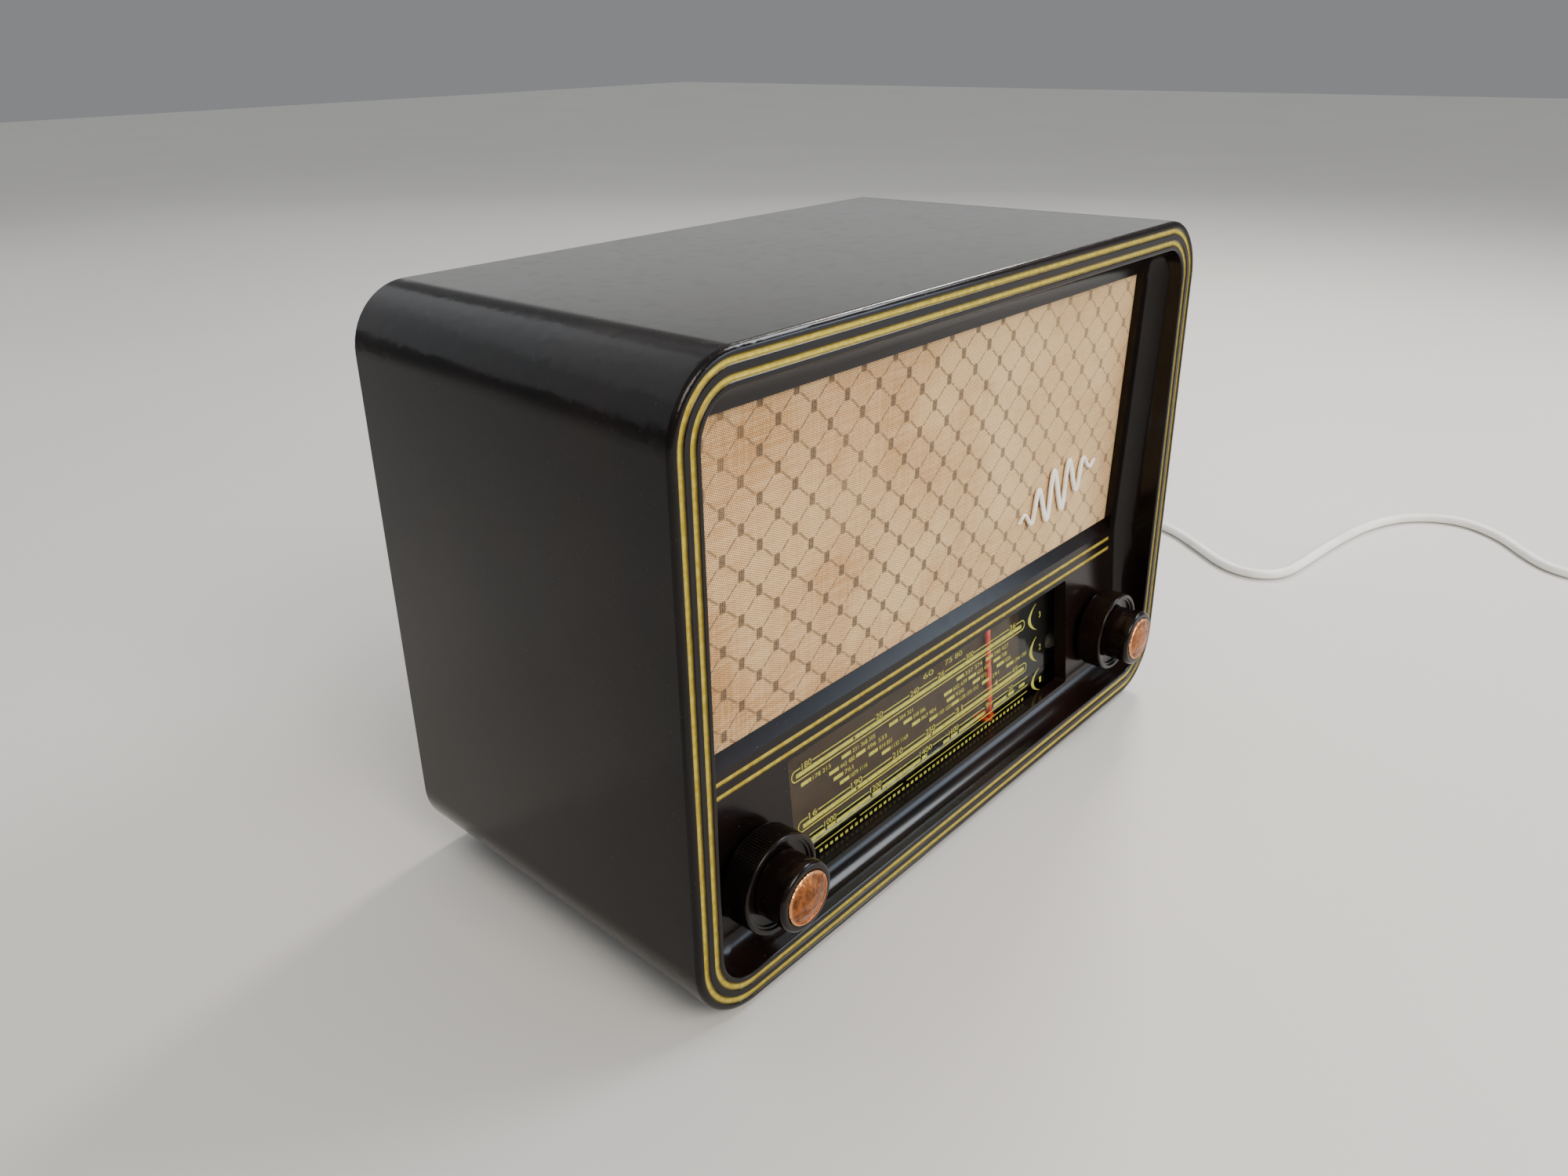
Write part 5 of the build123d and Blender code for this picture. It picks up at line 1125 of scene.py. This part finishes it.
sections += [
    (plug_back - 40, plug_wide - 0.2, plug_tall - 0.1, plug_z, 4.6, plug_y),
    (plug_face + 1.0, plug_wide - 0.3, plug_tall - 0.2, plug_z, 4.6, plug_y),
    (plug_face + 0.3, plug_wide - 0.7, plug_tall - 0.6, plug_z, 4.6, plug_y),
    (plug_face, plug_wide - 1.6, plug_tall - 1.5, plug_z, 4.4, plug_y),
]
white_plug = Finish("white_plug_moulding")
where, _ = white_plug.place()
scuff = white_plug.noise(where, 120.0, 4.0, 0.6)
plug_finish = white_plug.shade(
    Base_Color=white_plug.mix(scuff.step(0.4, 0.8), srgb(236, 233, 226), srgb(210, 205, 194)),
    Roughness=0.30 + scuff * 0.2, Normal=white_plug.bump(scuff, 0.00008),
)
plug = lofted("plug_moulding", sections, 0, plug_finish)
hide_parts("plug_body")

relief_low, relief_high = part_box("strain_relief")
relief_x = (relief_low.x + relief_high.x) / 2 / MM
relief_z = (relief_low.z + relief_high.z) / 2 / MM
relief_front, relief_end = relief_low.y / MM, relief_high.y / MM
flange = (relief_high.x - relief_low.x) / 2 / MM
neck = relief_end - 32
rounds = [
    (relief_front + 0.05, 5.4), (relief_front + 2, 5.9), (relief_front + 2.05, 4.95), (neck, 4.95),
    (neck + 0.05, flange - 0.4), (neck + 0.5, flange - 0.02), (neck + 1.6, flange - 0.1),
    (neck + 2.2, flange - 1.2),
]
for rib in range(8):
    along, size = neck + 4.0 + rib * 3.4, 5.25 - rib * 0.155
    rounds += [
        (along + shift, size + grown) for shift, grown in ((0, -0.6), (0.4, 0.0), (1.7, -0.05), (2.1, -0.65))
    ]
rounds.append((relief_end - 0.1, 3.7))
sleeve = [(along, size, size, relief_z, 2, relief_x) for along, size in rounds]
relief = lofted("lead_sleeve", sleeve, 1, plug_finish)
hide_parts("strain_relief")

# %% [markdown]
# ## Everything else
# The remaining CAD nodes have the right shape already, so each only needs its finish and smooth
# faces. Most are one colour with a second one clouded in, a roughness that varies with the same
# clouds, and a fine grain in the bump. `clouded` makes such a finish from a line of a table. The
# table's words are the record's own names for the finishes, so one line serves several pieces.


# %% Clouded finishes
def clouded(
    name, first, second, rough, metal=0.0, scale=90.0, grain=900.0, depth=0.0001, stretch=(1, 1, 1), **extra
):
    """A finish of two clouded colours with grain; stretch draws the clouds out along an axis."""
    made = Finish(name)
    where, _ = made.place()
    drawn = made.stretched(where, stretch)
    clouds = made.noise(drawn, scale, 4.0, 0.6)
    fine = made.noise(drawn, grain, 2.0, 0.6)
    return made.shade(
        Base_Color=made.mix(clouds.step(0.32, 0.7), srgb(*first), srgb(*second)),
        Roughness=rough + (clouds - 0.5) * 0.22 + (fine - 0.5) * 0.1,
        Metallic=metal, Normal=made.bump(fine * 0.7 + clouds * 0.3, depth), **extra,
    )


finishes = {
    "ivory": clouded(
        "ivory_enamel", (250, 245, 232), (236, 228, 208), 0.34, scale=70.0, depth=0.00006, Coat_Weight=0.3
    ),
    "steel": clouded("plated_steel", (176, 174, 168), (120, 116, 108), 0.36, 0.9, scale=160.0),
    "chassis": clouded("chassis_plating", (150, 148, 138), (112, 106, 92), 0.46, 0.85, scale=40.0),
    "aluminium": clouded(
        "spun_aluminium", (196, 197, 198), (158, 159, 160), 0.34, 0.95, scale=60.0, stretch=(1, 1, 6)
    ),
    "brass": clouded("drawn_brass", (188, 152, 84), (138, 104, 54), 0.32, 0.95, scale=140.0),
    "rubber": clouded("black_rubber", (26, 25, 24), (42, 40, 37), 0.78, scale=200.0, depth=0.0002),
    "wood": clouded(
        "pine_board", (190, 152, 104), (150, 110, 68), 0.62, scale=60.0, stretch=(0.3, 1, 6), depth=0.0003
    ),
    "fibreboard": clouded(
        "pressed_fibreboard", (110, 84, 60), (98, 73, 51), 0.80, scale=70.0, grain=1500.0, depth=0.00035
    ),
    "cone_paper": clouded(
        "cone_paper", (52, 49, 46), (72, 67, 61), 0.88, scale=220.0, grain=1800.0, depth=0.0003
    ),
    "magnet": clouded("cast_magnet", (70, 68, 66), (46, 44, 42), 0.5, 0.5, scale=150.0, depth=0.0002),
    "phenolic": clouded("phenolic_board", (92, 56, 32), (66, 38, 22), 0.45, scale=120.0),
    "valve_glass": clouded(
        "valve_glass", (206, 210, 208), (150, 154, 156), 0.10, scale=60.0, depth=0.00002,
        Transmission_Weight=0.85,
    ),
    "ceramic": clouded("glazed_ceramic", (222, 216, 202), (198, 190, 172), 0.28, scale=80.0),
    "dial_cord": clouded("waxed_cord", (150, 120, 78), (112, 86, 54), 0.8, scale=900.0, depth=0.0002),
    "lamp_glass": clouded(
        "lamp_glass", (240, 236, 222), (214, 206, 184), 0.08, scale=90.0, depth=0.00002,
        Transmission_Weight=0.8,
    ),
    "copper": copper_finish,
    "bakelite": knob_finish,
    "white_plug": plug_finish,
    "pointer": pointer_finish,
}
slots = {}
for name, node in nodes.items():
    words = [slot.material.name.split(".")[0] for slot in node.material_slots if slot.material]
    slots[name] = next((finish for finish in finishes if any(w.endswith(finish) for w in words)), None)
already = {
    "cabinet", "badge", "dial_glass", "dial_back_plate", "grille_cloth", "dial_pointer", "mains_cord",
    "mains_cord_coil", "plug_body", "strain_relief", "tone_ring", "tuning_ring", "volume_knob", "band_knob",
    "volume_cap", "band_cap",
}
for name in nodes:
    if name not in already:
        finish_node(name, finishes[slots[name] or "steel"])
print("finishes", {name: slot for name, slot in slots.items() if name not in already})
